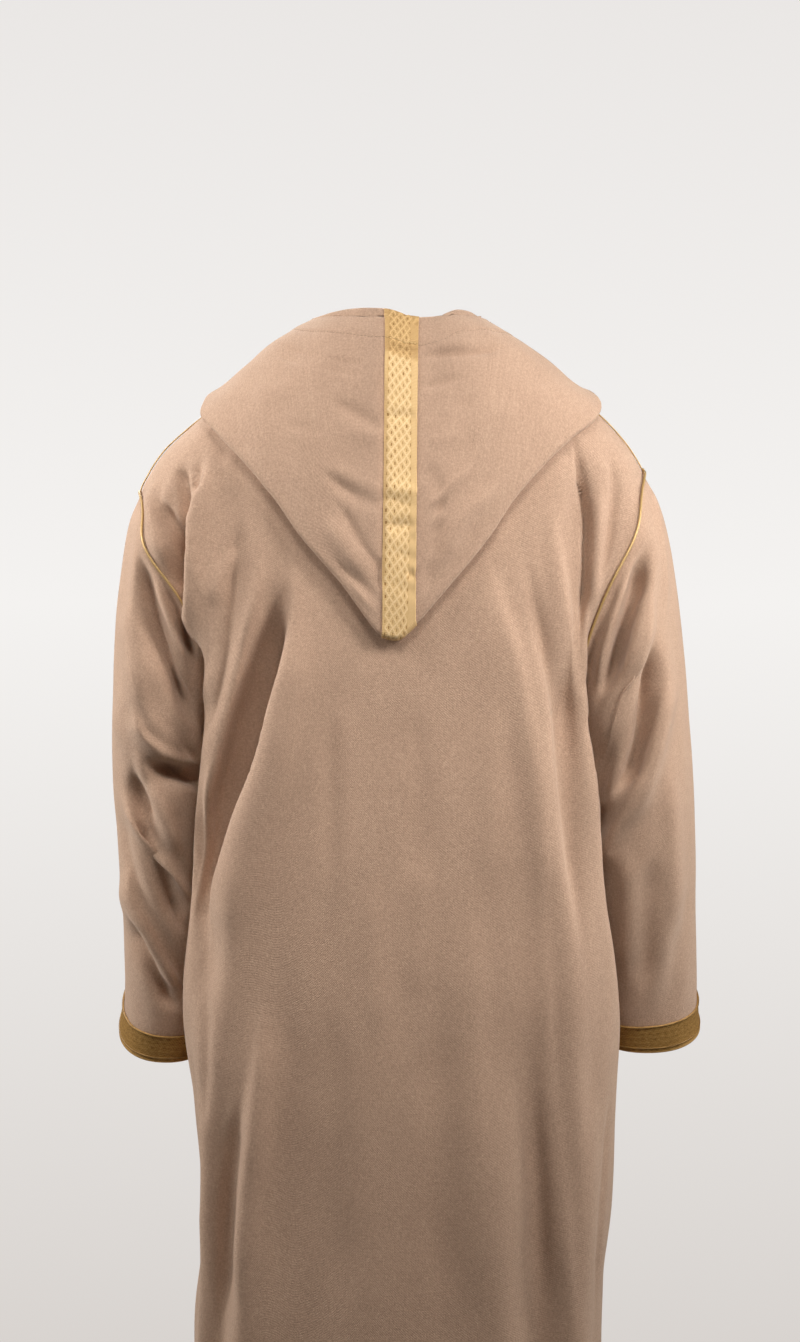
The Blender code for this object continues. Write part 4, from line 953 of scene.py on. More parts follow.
def hood_grid(places, cloth):
    """The hood's outer face, with its creases, its turned hem and that hem's stitch groove, its
    normals, and how far each point lies from the hood's edge."""
    middle, shares = hood_surface(places)
    normal = grid_normal(middle, 1.0, HOOD_OUTER_ROW)
    on_top = (shares >= 0.0)[:, None]
    hold = ease(np.clip(shares, 0.0, 1.0) / HOOD_HOLD) * ease((1.0 - shares) / HOOD_HOLD)
    hold = np.where(on_top, hold[:, None], 0.0)
    grid = creased("hood", middle + normal * (0.5 * cloth.thickness), normal, hold, cloth)
    from_edge = lengths(grid[::-1])[::-1]
    groove = np.exp(-((from_edge - HOOD_HEM) / HEM_GROOVE[0]) ** 2) * HEM_GROOVE[1]
    turned = ease((HOOD_HEM + HEM_STEP[0] - from_edge) / HEM_STEP[1]) * HEM_STEP[2]
    grid = grid + normal * (np.where(on_top, turned - groove, 0.0))[..., None]
    return grid, grid_normal(grid, 1.0, HOOD_OUTER_ROW), from_edge


def run_lengths(grid):
    """Distance along each row from its middle and down each column from the top, in metres."""
    across = lengths(grid.swapaxes(0, 1)).T
    across = across - across[:, across.shape[1] // 2][:, None]
    return np.stack([across, lengths(grid)], axis=-1)


def mesh_piece(name, points, faces, finish, runs=None):
    """An object with smooth faces; runs holds where each point lies on its flat cloth."""
    mesh = bpy.data.meshes.new(name)
    mesh.from_pydata(points.tolist(), [], faces)
    if runs is not None:
        layer = mesh.uv_layers.new(name="cloth_run")
        corner = np.empty(len(mesh.loops), dtype=np.int64)
        mesh.loops.foreach_get("vertex_index", corner)
        layer.uv.foreach_set("vector", runs[corner].astype(np.float32).ravel())
    shape = bmesh.new()
    shape.from_mesh(mesh)
    bmesh.ops.recalc_face_normals(shape, faces=shape.faces)
    shape.to_mesh(mesh)
    shape.free()
    mesh.polygons.foreach_set("use_smooth", [True] * len(mesh.polygons))
    mesh.materials.append(finish)
    obj = bpy.data.objects.new(name, mesh)
    bpy.context.scene.collection.objects.link(obj)
    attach(obj, "root")
    return obj


def ring_lines(rows, columns, closed):
    """Row and column numbers along each open edge of a grid, one closed run for each."""
    if closed:
        across = np.append(np.arange(columns - 1), 0)
        return [(np.full(columns, row), across) for row in (0, rows - 1)]
    down, across = np.arange(rows), np.arange(columns)
    row_run = np.concatenate([np.zeros(columns), down[1:], np.full(columns - 1, rows - 1),
                              down[-2::-1]])
    column_run = np.concatenate([across, np.full(rows - 1, columns - 1), across[-2::-1],
                                 np.zeros(rows - 1)])
    return [(row_run.astype(int), column_run.astype(int))]


def cloth_wall(name, outer, normal, cloth, finish, closed=False, rim=CLOTH_RIM):
    """A closed cloth of the given thickness behind its outer face, its edges rounded. A closed
    grid's last column lies on its first."""
    inner = outer - normal * cloth
    rows, columns = outer.shape[:2]
    runs = run_lengths(outer)
    count = rows * columns
    index = np.arange(count).reshape(rows, columns)
    push = np.zeros(outer.shape)
    push[0] += unit(outer[0] - outer[1])
    push[-1] += unit(outer[-1] - outer[-2])
    if closed:
        index[:, -1] = index[:, 0]
    else:
        push[:, 0] += unit(outer[:, 0] - outer[:, 1])
        push[:, -1] += unit(outer[:, -1] - outer[:, -2])
    a, b = index[:-1, :-1].ravel(), index[:-1, 1:].ravel()
    c, d = index[1:, 1:].ravel(), index[1:, :-1].ravel()
    faces = np.concatenate([np.stack([a, b, c, d], 1), np.stack([d, c, b, a], 1) + count])
    layers = [outer.reshape(-1, 3), inner.reshape(-1, 3)]
    where = [runs.reshape(-1, 2)] * 2
    total = 2 * count
    for row, column in ring_lines(rows, columns, closed):
        middle = 0.5 * (outer + inner)[row, column]
        layers.append((middle + unit(push[row, column]) * (rim * cloth))[:-1])
        where.append(runs[row, column][:-1])
        top = index[row, column]
        mid = total + np.append(np.arange(len(row) - 1), 0)
        total += len(row) - 1
        for upper, lower in ((top, mid), (mid, top + count)):
            faces = np.concatenate([faces, np.stack([upper[:-1], upper[1:], lower[1:],
                                                     lower[:-1]], 1)])
    used, faces = np.unique(faces, return_inverse=True)
    points = np.concatenate(layers)[used]
    return mesh_piece(name, points, faces.reshape(-1, 4).tolist(), finish,
                      np.concatenate(where)[used])


def along_path(path, out, places):
    """Points of a path at distances along it, with the ways on, out and aside at each."""
    runs = lengths(path)
    line, side = (np.stack([np.interp(places, runs, given[:, k]) for k in range(3)], axis=-1)
                  for given in (path, out))
    tangent = unit(np.gradient(line, axis=0))
    up = unit(side - tangent * np.sum(side * tangent, axis=-1, keepdims=True))
    return line, tangent, up, np.cross(tangent, up)


def cord_mesh(name, path, out, radius, pitch, finish):
    """A twisted cord along a path: its section has a lobe for each strand and turns as it goes."""
    length = lengths(path)[-1]
    steps = int(length / (pitch / CORD_FACETS)) + 2
    places = np.linspace(0.0, length, steps)
    line, _, up, aside = along_path(path, out, places)
    sides = CORD_FACETS * CORD_STRANDS
    turn = np.linspace(0.0, 2.0 * math.pi, sides, endpoint=False)[None, :]
    twist = (2.0 * math.pi * places / (pitch * CORD_STRANDS))[:, None]
    lobe = 1.0 - CORD_DIP * (1.0 - np.abs(np.cos(0.5 * CORD_STRANDS * (turn - twist))))
    ring = (up[:, None] * np.cos(turn)[..., None] + aside[:, None] * np.sin(turn)[..., None])
    points = line[:, None] + ring * (radius * lobe)[..., None]
    index = np.arange(steps * sides).reshape(steps, sides)
    around = np.roll(index, -1, axis=1)
    faces = np.stack([index[:-1].ravel(), around[:-1].ravel(), around[1:].ravel(),
                      index[1:].ravel()], 1).tolist()
    faces.append(index[0][::-1].tolist())
    faces.append(index[-1].tolist())
    where = np.stack([np.broadcast_to(turn * radius, (steps, sides)),
                      np.broadcast_to(places[:, None], (steps, sides))], axis=-1)
    return mesh_piece(name, points.reshape(-1, 3), faces, finish,
                      where.reshape(-1, 2))


def armhole_outward(side, turn):
    """The way out between body and sleeve at the armhole, longer where they face each other."""
    level = YOKE_END + np.where(turn <= math.pi, turn, 2.0 * math.pi - turn) / math.pi
    level = np.clip(level, YOKE_END + 2 * STEP, ARMHOLE_END - 2 * STEP)
    edge = np.full(turn.shape, ARMHOLES[side]["way"] * (1.0 - STEP))
    body = np.where((turn <= math.pi)[..., None], panel_normal(1, edge, level),
                    panel_normal(-1, edge, level))
    sleeve = sleeve_normal(side, turn, np.full(turn.shape, 2 * STEP))
    opening = 0.5 * np.linalg.norm(sleeve + body, axis=-1, keepdims=True)
    return unit(sleeve + body) / np.maximum(opening, NARROWEST_OPENING)


# ---- finishes
def linear(hex_colour):
    """An sRGB hex colour as linear red, green and blue."""
    parts = [int(hex_colour[k:k + 2], 16) / 255.0 for k in (1, 3, 5)]
    return tuple(c / 12.92 if c <= 0.04045 else ((c + 0.055) / 1.055) ** 2.4 for c in parts)


def add_node(tree, kind, settings=None, inputs=None):
    """Adds a node with its own settings and, by name or number, its inputs: a value, or the
    output of another node."""
    made = tree.nodes.new(kind)
    for name, value in (settings or {}).items():
        setattr(made, name, value)
    for name, value in (inputs or {}).items():
        if isinstance(value, bpy.types.NodeSocket):
            tree.links.new(value, made.inputs[name])
        else:
            made.inputs[name].default_value = value
    return made


def new_finish(name, shader_inputs):
    """A material with one surface shader and its constant settings."""
    finish = bpy.data.materials.new(name)
    finish.use_nodes = True
    tree = finish.node_tree
    tree.nodes.clear()
    shader = add_node(tree, "ShaderNodeBsdfPrincipled", None, shader_inputs)
    add_node(tree, "ShaderNodeOutputMaterial", None, {"Surface": shader.outputs[0]})
    return finish, tree, shader


def ramp(tree, value, stops):
    """Colours along a value: stops are places and linear colours."""
    made = add_node(tree, "ShaderNodeValToRGB", None, {0: value})
    marks = made.color_ramp.elements
    for number, (place, colour) in enumerate(stops):
        mark = marks[number] if number < len(marks) else marks.new(place)
        mark.position = place
        mark.color = (*colour, 1.0)
    return made.outputs[0]


def felted_wool(name, cloth):
    """Fulled woollen cloth, woven from mixed taupe yarns, shrunk and brushed: matt, with a soft
    nap that catches light at its edges, a heathered speckle and a weave that hardly shows."""
    finish, tree, shader = new_finish(name, {
        "Roughness": 0.92, "IOR": 1.5, "Specular IOR Level": 0.25,
        "Sheen Weight": 0.35, "Sheen Roughness": 0.55, "Sheen Tint": (*linear("#F2E2D0"), 1.0)})
    place = add_node(tree, "ShaderNodeTexCoord").outputs["Object"]
    run = add_node(tree, "ShaderNodeUVMap", {"uv_map": "cloth_run"}).outputs[0]
    # heather: fibres of paler and darker wool in tufts of about 2 mm
    heather = add_node(tree, "ShaderNodeTexNoise", None, {
        "Vector": place, "Scale": 1.0 / (cloth.heather * 1.6), "Detail": 3.0,
        "Roughness": 0.65}).outputs["Fac"]
    # yarns: 1 mm warp and weft, streaky along their run
    streaks = []
    for wide, long in ((1.0, 9.0), (8.0, 1.1)):
        stretched = add_node(tree, "ShaderNodeVectorMath", {"operation": "MULTIPLY"}, {
            0: run, 1: (1.0 / (wide * MM), 1.0 / (long * MM), 0.0)}).outputs[0]
        streaks.append(add_node(tree, "ShaderNodeTexNoise", None, {
            "Vector": stretched, "Scale": 1.0, "Detail": 1.0}).outputs["Fac"])
    yarn = add_node(tree, "ShaderNodeMath", {"operation": "ADD"}, {
        0: streaks[0], 1: streaks[1]}).outputs[0]
    mixed = add_node(tree, "ShaderNodeMath", {"operation": "MULTIPLY_ADD"}, {
        0: yarn, 1: 0.35, 2: heather}).outputs[0]
    # cloudy dyeing, 50 to 100 mm
    cloud = add_node(tree, "ShaderNodeTexNoise", None, {
        "Vector": place, "Scale": 14.0, "Detail": 2.0}).outputs["Fac"]
    value = add_node(tree, "ShaderNodeMath", {"operation": "MULTIPLY_ADD"}, {
        0: cloud, 1: 0.16, 2: mixed}).outputs[0]
    value = add_node(tree, "ShaderNodeMapRange", None, {
        "Value": value, "From Min": 0.48, "From Max": 1.38}).outputs[0]
    colours = ramp(tree, value, ((0.12, cloth.dark), (0.5, cloth.mid), (0.88, cloth.pale)))
    tree.links.new(colours, shader.inputs["Base Color"])
    # nap: fuzz of about 0.8 mm over a plain weave of the given pitch
    waves = []
    for axis in ("X", "Y"):
        part = add_node(tree, "ShaderNodeSeparateXYZ", None, {0: run}).outputs[axis]
        turned = add_node(tree, "ShaderNodeMath", {"operation": "MULTIPLY"}, {
            0: part, 1: math.pi / cloth.weave}).outputs[0]
        waves.append(add_node(tree, "ShaderNodeMath", {"operation": "SINE"}, {
            0: turned}).outputs[0])
    weave = add_node(tree, "ShaderNodeMath", {"operation": "MULTIPLY"}, {
        0: waves[0], 1: waves[1]}).outputs[0]
    fuzz = add_node(tree, "ShaderNodeTexNoise", None, {
        "Vector": place, "Scale": 1.0 / (0.8 * MM * 1.6), "Detail": 4.0,
        "Roughness": 0.7}).outputs["Fac"]
    height = add_node(tree, "ShaderNodeMath", {"operation": "MULTIPLY_ADD"}, {
        0: weave, 1: 0.22, 2: fuzz}).outputs[0]
    height = add_node(tree, "ShaderNodeMath", {"operation": "MULTIPLY_ADD"}, {
        0: mixed, 1: 0.8, 2: height}).outputs[0]
    bump = add_node(tree, "ShaderNodeBump", None, {
        "Strength": 0.75, "Distance": 0.6 * MM, "Height": height}).outputs[0]
    tree.links.new(bump, shader.inputs["Normal"])
    return finish


def woven_braid(name, bright, gold, ground, metal, streak):
    """Jacquard-woven ribbon of metallised yarn: the floating gold yarns mirror the light in soft
    bands, the ground between them is darker, and the small repeat stands a little proud."""
    finish, tree, shader = new_finish(name, {
        "Roughness": 0.62, "Metallic": metal, "Specular IOR Level": 0.14})
    thread = add_node(tree, "ShaderNodeAttribute", {"attribute_name": "thread"}).outputs["Fac"]
    run = add_node(tree, "ShaderNodeUVMap", {"uv_map": "cloth_run"}).outputs[0]
    # single yarns, 4 mm long, and the streaks of the floats that lie over them
    fine = add_node(tree, "ShaderNodeVectorMath", {"operation": "MULTIPLY"}, {
        0: run, 1: (1.0 / (4.0 * MM), 1.0 / (0.7 * MM), 0.0)}).outputs[0]
    yarn = add_node(tree, "ShaderNodeTexNoise", None, {
        "Vector": fine, "Scale": 1.0, "Detail": 2.0}).outputs["Fac"]
    value = add_node(tree, "ShaderNodeMath", {"operation": "MULTIPLY_ADD"}, {
        0: yarn, 1: streak, 2: thread}).outputs[0]
    value = add_node(tree, "ShaderNodeMath", {"operation": "SUBTRACT"}, {
        0: value, 1: 0.5 * streak}).outputs[0]
    colours = ramp(tree, value, ((0.08, ground), (0.5, gold), (0.95, bright)))
    tree.links.new(colours, shader.inputs["Base Color"])
    height = add_node(tree, "ShaderNodeMath", {"operation": "MULTIPLY_ADD"}, {
        0: yarn, 1: 0.5, 2: thread}).outputs[0]
    bump = add_node(tree, "ShaderNodeBump", None, {
        "Strength": 0.6, "Distance": 0.25 * MM, "Height": height}).outputs[0]
    tree.links.new(bump, shader.inputs["Normal"])
    return finish


def rayon_cord(name, colour, dark):
    """Two-ply rayon cord: glossy twisted strands, darker where they dip between each other."""
    finish, tree, shader = new_finish(name, {
        "Roughness": 0.42, "Metallic": 0.35})
    run = add_node(tree, "ShaderNodeUVMap", {"uv_map": "cloth_run"}).outputs[0]
    fine = add_node(tree, "ShaderNodeVectorMath", {"operation": "MULTIPLY"}, {
        0: run, 1: (1.0 / (0.35 * MM), 1.0 / (2.0 * MM), 0.0)}).outputs[0]
    fibre = add_node(tree, "ShaderNodeTexNoise", None, {
        "Vector": fine, "Scale": 1.0, "Detail": 2.0}).outputs["Fac"]
    shade = add_node(tree, "ShaderNodeMix", {"data_type": "RGBA"}, {
        0: fibre, 6: (*dark, 1.0), 7: (*colour, 1.0)}).outputs[2]
    tree.links.new(shade, shader.inputs["Base Color"])
    bump = add_node(tree, "ShaderNodeBump", None, {
        "Strength": 0.5, "Distance": 0.1 * MM, "Height": fibre}).outputs[0]
    tree.links.new(bump, shader.inputs["Normal"])
    return finish


def sewing_thread(name, dark, pale):
    """Spun polyester sewing thread: twisted, a little glossier than the wool."""
    finish, tree, shader = new_finish(name, {"Roughness": 0.6, "IOR": 1.5})
    place = add_node(tree, "ShaderNodeTexCoord").outputs["Object"]
    fibre = add_node(tree, "ShaderNodeTexNoise", None, {
        "Vector": place, "Scale": 1.0 / (0.3 * MM), "Detail": 1.0}).outputs["Fac"]
    tree.links.new(ramp(tree, fibre, ((0.3, linear(dark)), (0.7, linear(pale)))),
                   shader.inputs["Base Color"])
    return finish


def matt_paper(name):
    """Seamless studio paper: matt, even and pale."""
    finish, tree, shader = new_finish(name, {"Roughness": 0.95, "IOR": 1.45,
                                             "Specular IOR Level": 0.2})
    place = add_node(tree, "ShaderNodeTexCoord").outputs["Object"]
    grain = add_node(tree, "ShaderNodeTexNoise", None, {
        "Vector": place, "Scale": 60.0, "Detail": 3.0}).outputs["Fac"]
    tree.links.new(ramp(tree, grain, ((0.2, linear("#DEDAD6")), (0.8, linear("#E4E1DD")))),
                   shader.inputs["Base Color"])
    return finish


def finish_of(name, maker, *given):
    """The named material, made once."""
    return bpy.data.materials.get(name) or maker(name, *given)


def wool(scene):
    return finish_of("felted_wool_taupe", felted_wool, scene.robe_cloth)


def braid(scene):
    trim = scene.robe_trim
    return finish_of("woven_braid_pale_gold", woven_braid, trim.braid_bright, trim.braid_gold,
                     trim.braid_ground, 0.06, 0.36)


def pale_thread():
    return finish_of("sewing_thread_straw", sewing_thread, "#C9A468", "#E8CB94")


def cuff_braid(scene):
    trim = scene.robe_trim
    return finish_of("woven_braid_old_gold", woven_braid, trim.cuff_bright, trim.cuff_gold,
                     trim.cuff_ground, 0.35, 1.3)


def cuff_edge():
    return finish_of("rayon_cord_old_gold", rayon_cord, linear("#A8803F"), linear("#6B4E26"))


def cord(scene):
    trim = scene.robe_trim
    return finish_of("rayon_cord_gold", rayon_cord, trim.cord_colour, trim.cord_dark)


def resampled(grid, spacing):
    """The grid with its rows evenly spread along smooth curves, about spacing apart."""
    runs = lengths(grid[:, grid.shape[1] // 2])
    count = int(runs[-1] / spacing) + 1
    rows = grid.shape[0]
    at = np.interp(np.linspace(0.0, runs[-1], count), runs, np.arange(rows, dtype=float))
    first = np.clip(at.astype(int), 0, rows - 2)
    t = (at - first)[:, None, None]
    p0, p1 = grid[np.maximum(first - 1, 0)], grid[first]
    p2, p3 = grid[first + 1], grid[np.minimum(first + 2, rows - 1)]
    return 0.5 * (2.0 * p1 + (p2 - p0) * t + (2.0 * p0 - 5.0 * p1 + 4.0 * p2 - p3) * t ** 2
                  + (3.0 * p1 - p0 - 3.0 * p2 + p3) * t ** 3)


def down_to(distance, distances, given, column):
    """What a grid holds in a column at a distance from its lowest row."""
    far = distances[::-1, column]
    return [np.interp(distance, far, given[::-1, column, k]) for k in range(3)]


def set_thread(obj, values, closed=False):
    """Keeps on each point how much of the bright yarn lies on top there."""
    mesh = obj.data
    full = np.full(len(mesh.vertices), 0.5)
    flat = (values[:, :-1] if closed else values).ravel()
    full[:len(flat)] = flat
    full[len(flat):2 * len(flat)] = flat
    made = mesh.attributes.new("thread", "FLOAT", "POINT")
    made.data.foreach_set("value", full.astype(np.float32))


def lattice_thread(across, down, half_width):
    """Weave of the hood's braid, in metres across from its middle and down: ribbed edges, and
    between them a net of bright crossing lines whose lozenges are ribbed, each with a dark tick."""
    bright = BRAID_BRIGHT
    rib = bright["rib"] * np.cos(2.0 * math.pi * down / BRAID_RIB)
    u = across / BRAID_COLUMN
    v = down / BRAID_REPEAT
    crossing = np.minimum(np.abs(u + v - np.round(u + v)), np.abs(u - v - np.round(u - v)))
    row = np.round(v * 2.0)
    column = np.round(u - 0.5 + 0.5 * np.mod(row, 2.0)) + 0.5 - 0.5 * np.mod(row, 2.0)
    ticked = (np.abs(u - column) * BRAID_COLUMN < BRAID_TICK[0]) & (
        np.abs(v - 0.5 * row) * BRAID_REPEAT < BRAID_TICK[1])
    field = np.where(crossing < BRAID_LINE, bright["line"], bright["lozenge"] + rib)
    field = np.where(ticked, bright["tick"], field)
    inner = half_width - SELVEDGE
    value = np.where(np.abs(across) > inner, bright["edge"] + rib, field)
    value = np.where(np.abs(np.abs(across) - inner) < 0.5 * MM, bright["border"], value)
    # painted shade: the braid is darkened above the hem's stitch line and on the turned hem, in
    # place of the shade of the hem's turn
    turned = np.exp(-((down - HEM_FOLD[0]) / HEM_FOLD[1]) ** 4)
    above = ease((HEM_FOLD[0] - down) / HEM_FOLD[1])
    return value * (1.0 - HEM_PAINTED_SHADE[0] * above) * (1.0 - HEM_PAINTED_SHADE[1] * turned)


def chevron_thread(around, up, height):
    """Weave of the cuff braid: fine slanting ribs that meet at its middle, and a plain edge."""
    bright = CHEVRON_BRIGHT
    slant = np.abs(up - 0.5 * height)
    rib = np.cos(2.0 * math.pi * (around + CHEVRON_SLANT * slant) / CHEVRON_PITCH)
    ridge = np.cos(2.0 * math.pi * up / (height / CHEVRON_RIDGES))
    value = bright["ground"] + bright["rib"] * rib + bright["ridge"] * ridge
    return np.where(np.minimum(up, height - up) < CHEVRON_EDGE * MM, bright["edge"], value)


def stitches(name, path, out, pitch, finish):
    """A row of short sewn stitches that lie along a path."""
    places = np.arange(0.5 * pitch, lengths(path)[-1] - 0.5 * pitch, pitch)
    points = []
    faces = []
    for spot, along, lift, across in zip(*along_path(path, out, places)):
        first = len(points)
        for share, size in STITCH_RINGS:
            arch = STITCH_ARCH * MM * (1.0 - (2.0 * share) ** 2)
            centre = spot + along * (share * STITCH_FILL * pitch) + lift * arch
            for turn in np.linspace(0.0, 2.0 * math.pi, STITCH_SIDES, endpoint=False):
                away = lift * math.cos(turn) * STITCH_FLAT + across * math.sin(turn)
                points.append(centre + away * size * STITCH_RADIUS * MM)
        last = len(points) - STITCH_SIDES
        for ring in range(first, last, STITCH_SIDES):
            for k in range(STITCH_SIDES):
                a, b = ring + k, ring + (k + 1) % STITCH_SIDES
                faces.append((a, b, b + STITCH_SIDES, a + STITCH_SIDES))
        faces.append(tuple(range(first, first + STITCH_SIDES))[::-1])
        faces.append(tuple(range(last, last + STITCH_SIDES)))
    return mesh_piece(name, np.array(points), faces, finish)


def sized(name, text, start, low, high, unit="LENGTH"):
    """A size that a user may change."""
    return FloatProperty(name=name, description=text, default=start, min=low, max=high, unit=unit)


def coloured(name, text, start):
    """A colour that a user may change, given as hex."""
    return FloatVectorProperty(name=name, description=text, default=linear(start), size=3,
                               subtype="COLOR")


class RobeCloth(bpy.types.PropertyGroup):
    thickness: sized("Cloth thickness", "Thickness of the felted wool", 0.0018, 0.001, 0.003)
    crease: FloatProperty(name="Crease strength", description="Height of the creases, 1 as worn",
                          default=1.0, min=0.0, max=1.5, subtype="FACTOR")
    lump: sized("Unevenness", "Slow rise and fall of the cloth", 0.0016, 0.0, 0.004)
    weave: sized("Weave pitch", "From one yarn to the next", 0.0012, 0.0005, 0.004)
    heather: sized("Heather", "Size of the tufts of mixed fibres", 0.0012, 0.0005, 0.006)
    pale: coloured("Pale wool", "The palest fibres", "#C6A58B")
    mid: coloured("Wool", "Most of the fibres", "#B3927A")
    dark: coloured("Dark wool", "The darkest fibres", "#9C7D67")


class RobeTrim(bpy.types.PropertyGroup):
    braid_thickness: sized("Braid thickness", "Thickness of the ribbon", 0.0011, 0.0005, 0.002)
    cord_radius: sized("Piping radius", "Radius of the seam cord", 0.0014, 0.0008, 0.002)
    cord_pitch: sized("Cord twist", "From one strand to the next", 0.0024, 0.001, 0.008)
    stitch: sized("Stitch length", "Of the hem's sewing", 0.0036, 0.002, 0.006)
    braid_bright: coloured("Bright yarn", "Yarn that floats on top", "#E4C597")
    braid_gold: coloured("Gold yarn", "Most of the braid", "#CCA772")
    braid_ground: coloured("Ground yarn", "Yarn seen in the gaps", "#8C663A")
    cuff_bright: coloured("Cuff bright yarn", "On top at the cuffs", "#C49A5E")
    cuff_gold: coloured("Cuff gold yarn", "Most of the cuff braid", "#9A743E")
    cuff_ground: coloured("Cuff ground yarn", "Seen in the gaps", "#5A4020")
    cord_colour: coloured("Cord", "Crown of the cord's strands", "#D6B47A")
    cord_dark: coloured("Cord shade", "Between the cord's fibres", "#9C7740")


class RobeStage(bpy.types.PropertyGroup):
    distance: sized("Camera distance", "From the camera to the wearer", 3.17, 1.0, 10.0)
    height: sized("Camera height", "Above the shoulder mount", -0.326, -2.0, 1.0)
    lens: sized("Lens", "Focal length in millimetres", 85.0, 35.0, 200.0, "CAMERA")
    key: sized("Main light", "Power of the soft light in front", 56.0, 0.0, 400.0, "POWER")
    fill: FloatProperty(name="Room light", description="Strength of the light from all round",
                        default=0.02, min=0.0, max=2.0)
    floor_z: sized("Floor height", "Of the studio floor", -1.50, -3.0, -1.4)
    top: StringProperty(name="Backdrop top", description="Hex colour", default="#EAE7E5")
    middle: StringProperty(name="Backdrop middle", description="Hex colour", default="#F4F2F0")
    bottom: StringProperty(name="Backdrop bottom", description="Hex colour", default="#D8D3CF")


class ROBE_OT_panels(bpy.types.Operator):
    """Make the back and the front of the robe"""
    bl_idname = "robe.panels"
    bl_label = "Back and front"

    def execute(self, context):
        cloth = context.scene.robe_cloth
        for name, facing, columns, flat, area in (
                ("back", 1.0, BACK_COLUMNS, (0.66, 1.44), 0.81),
                ("front", -1.0, FRONT_COLUMNS, (0.64, 1.32), 0.77)):
            grid = panel_grid(name, facing, columns, cloth)
            piece = cloth_wall(name + "_cloth", grid, grid_normal(grid, facing), cloth.thickness,
                               wool(context.scene))
            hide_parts(name)
        return {"FINISHED"}


class ROBE_OT_sleeves(bpy.types.Operator):
    """Make both sleeves, with their creases"""
    bl_idname = "robe.sleeves"
    bl_label = "Sleeves"

    def execute(self, context):
        cloth = context.scene.robe_cloth
        for side, area in (("left", 0.205), ("right", 0.219)):
            along = np.linspace(0.0, 1.0, SLEEVE_ROWS)
            grid = sleeve_grid(side, SLEEVE_COLUMNS_ROUND, along, cloth)
            piece = cloth_wall("sleeve_%s_cloth" % side, grid, round_normal(grid),
                               cloth.thickness, wool(context.scene), closed=True)
            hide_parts("sleeve_" + side)
        return {"FINISHED"}


class ROBE_OT_hood(bpy.types.Operator):
    """Make the folded-back hood with its sewn hem"""
    bl_idname = "robe.hood"
    bl_label = "Hood"

    def execute(self, context):
        cloth = context.scene.robe_cloth
        places = np.linspace(0.0, HOOD_COLUMNS["place"][-1], HOOD_COLUMNS_ROUND)
        grid, normal, from_edge = hood_grid(places, cloth)
        piece = cloth_wall("hood_cloth", grid, normal, cloth.thickness, wool(context.scene),
                           rim=HOOD_RIM)
        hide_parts("hood")
        path, out = (np.array([down_to(HOOD_HEM, from_edge, given, column)
                               for column in range(HEM_ENDS, grid.shape[1] - HEM_ENDS)])
                     for given in (grid, normal))
        finish = finish_of("sewing_thread_taupe", sewing_thread, "#8E735C", "#A98E76")
        stitches("hood_hem_stitches", path - out * (HEM_STITCH_SINK * MM), out,
                 context.scene.robe_trim.stitch, finish)
        return {"FINISHED"}


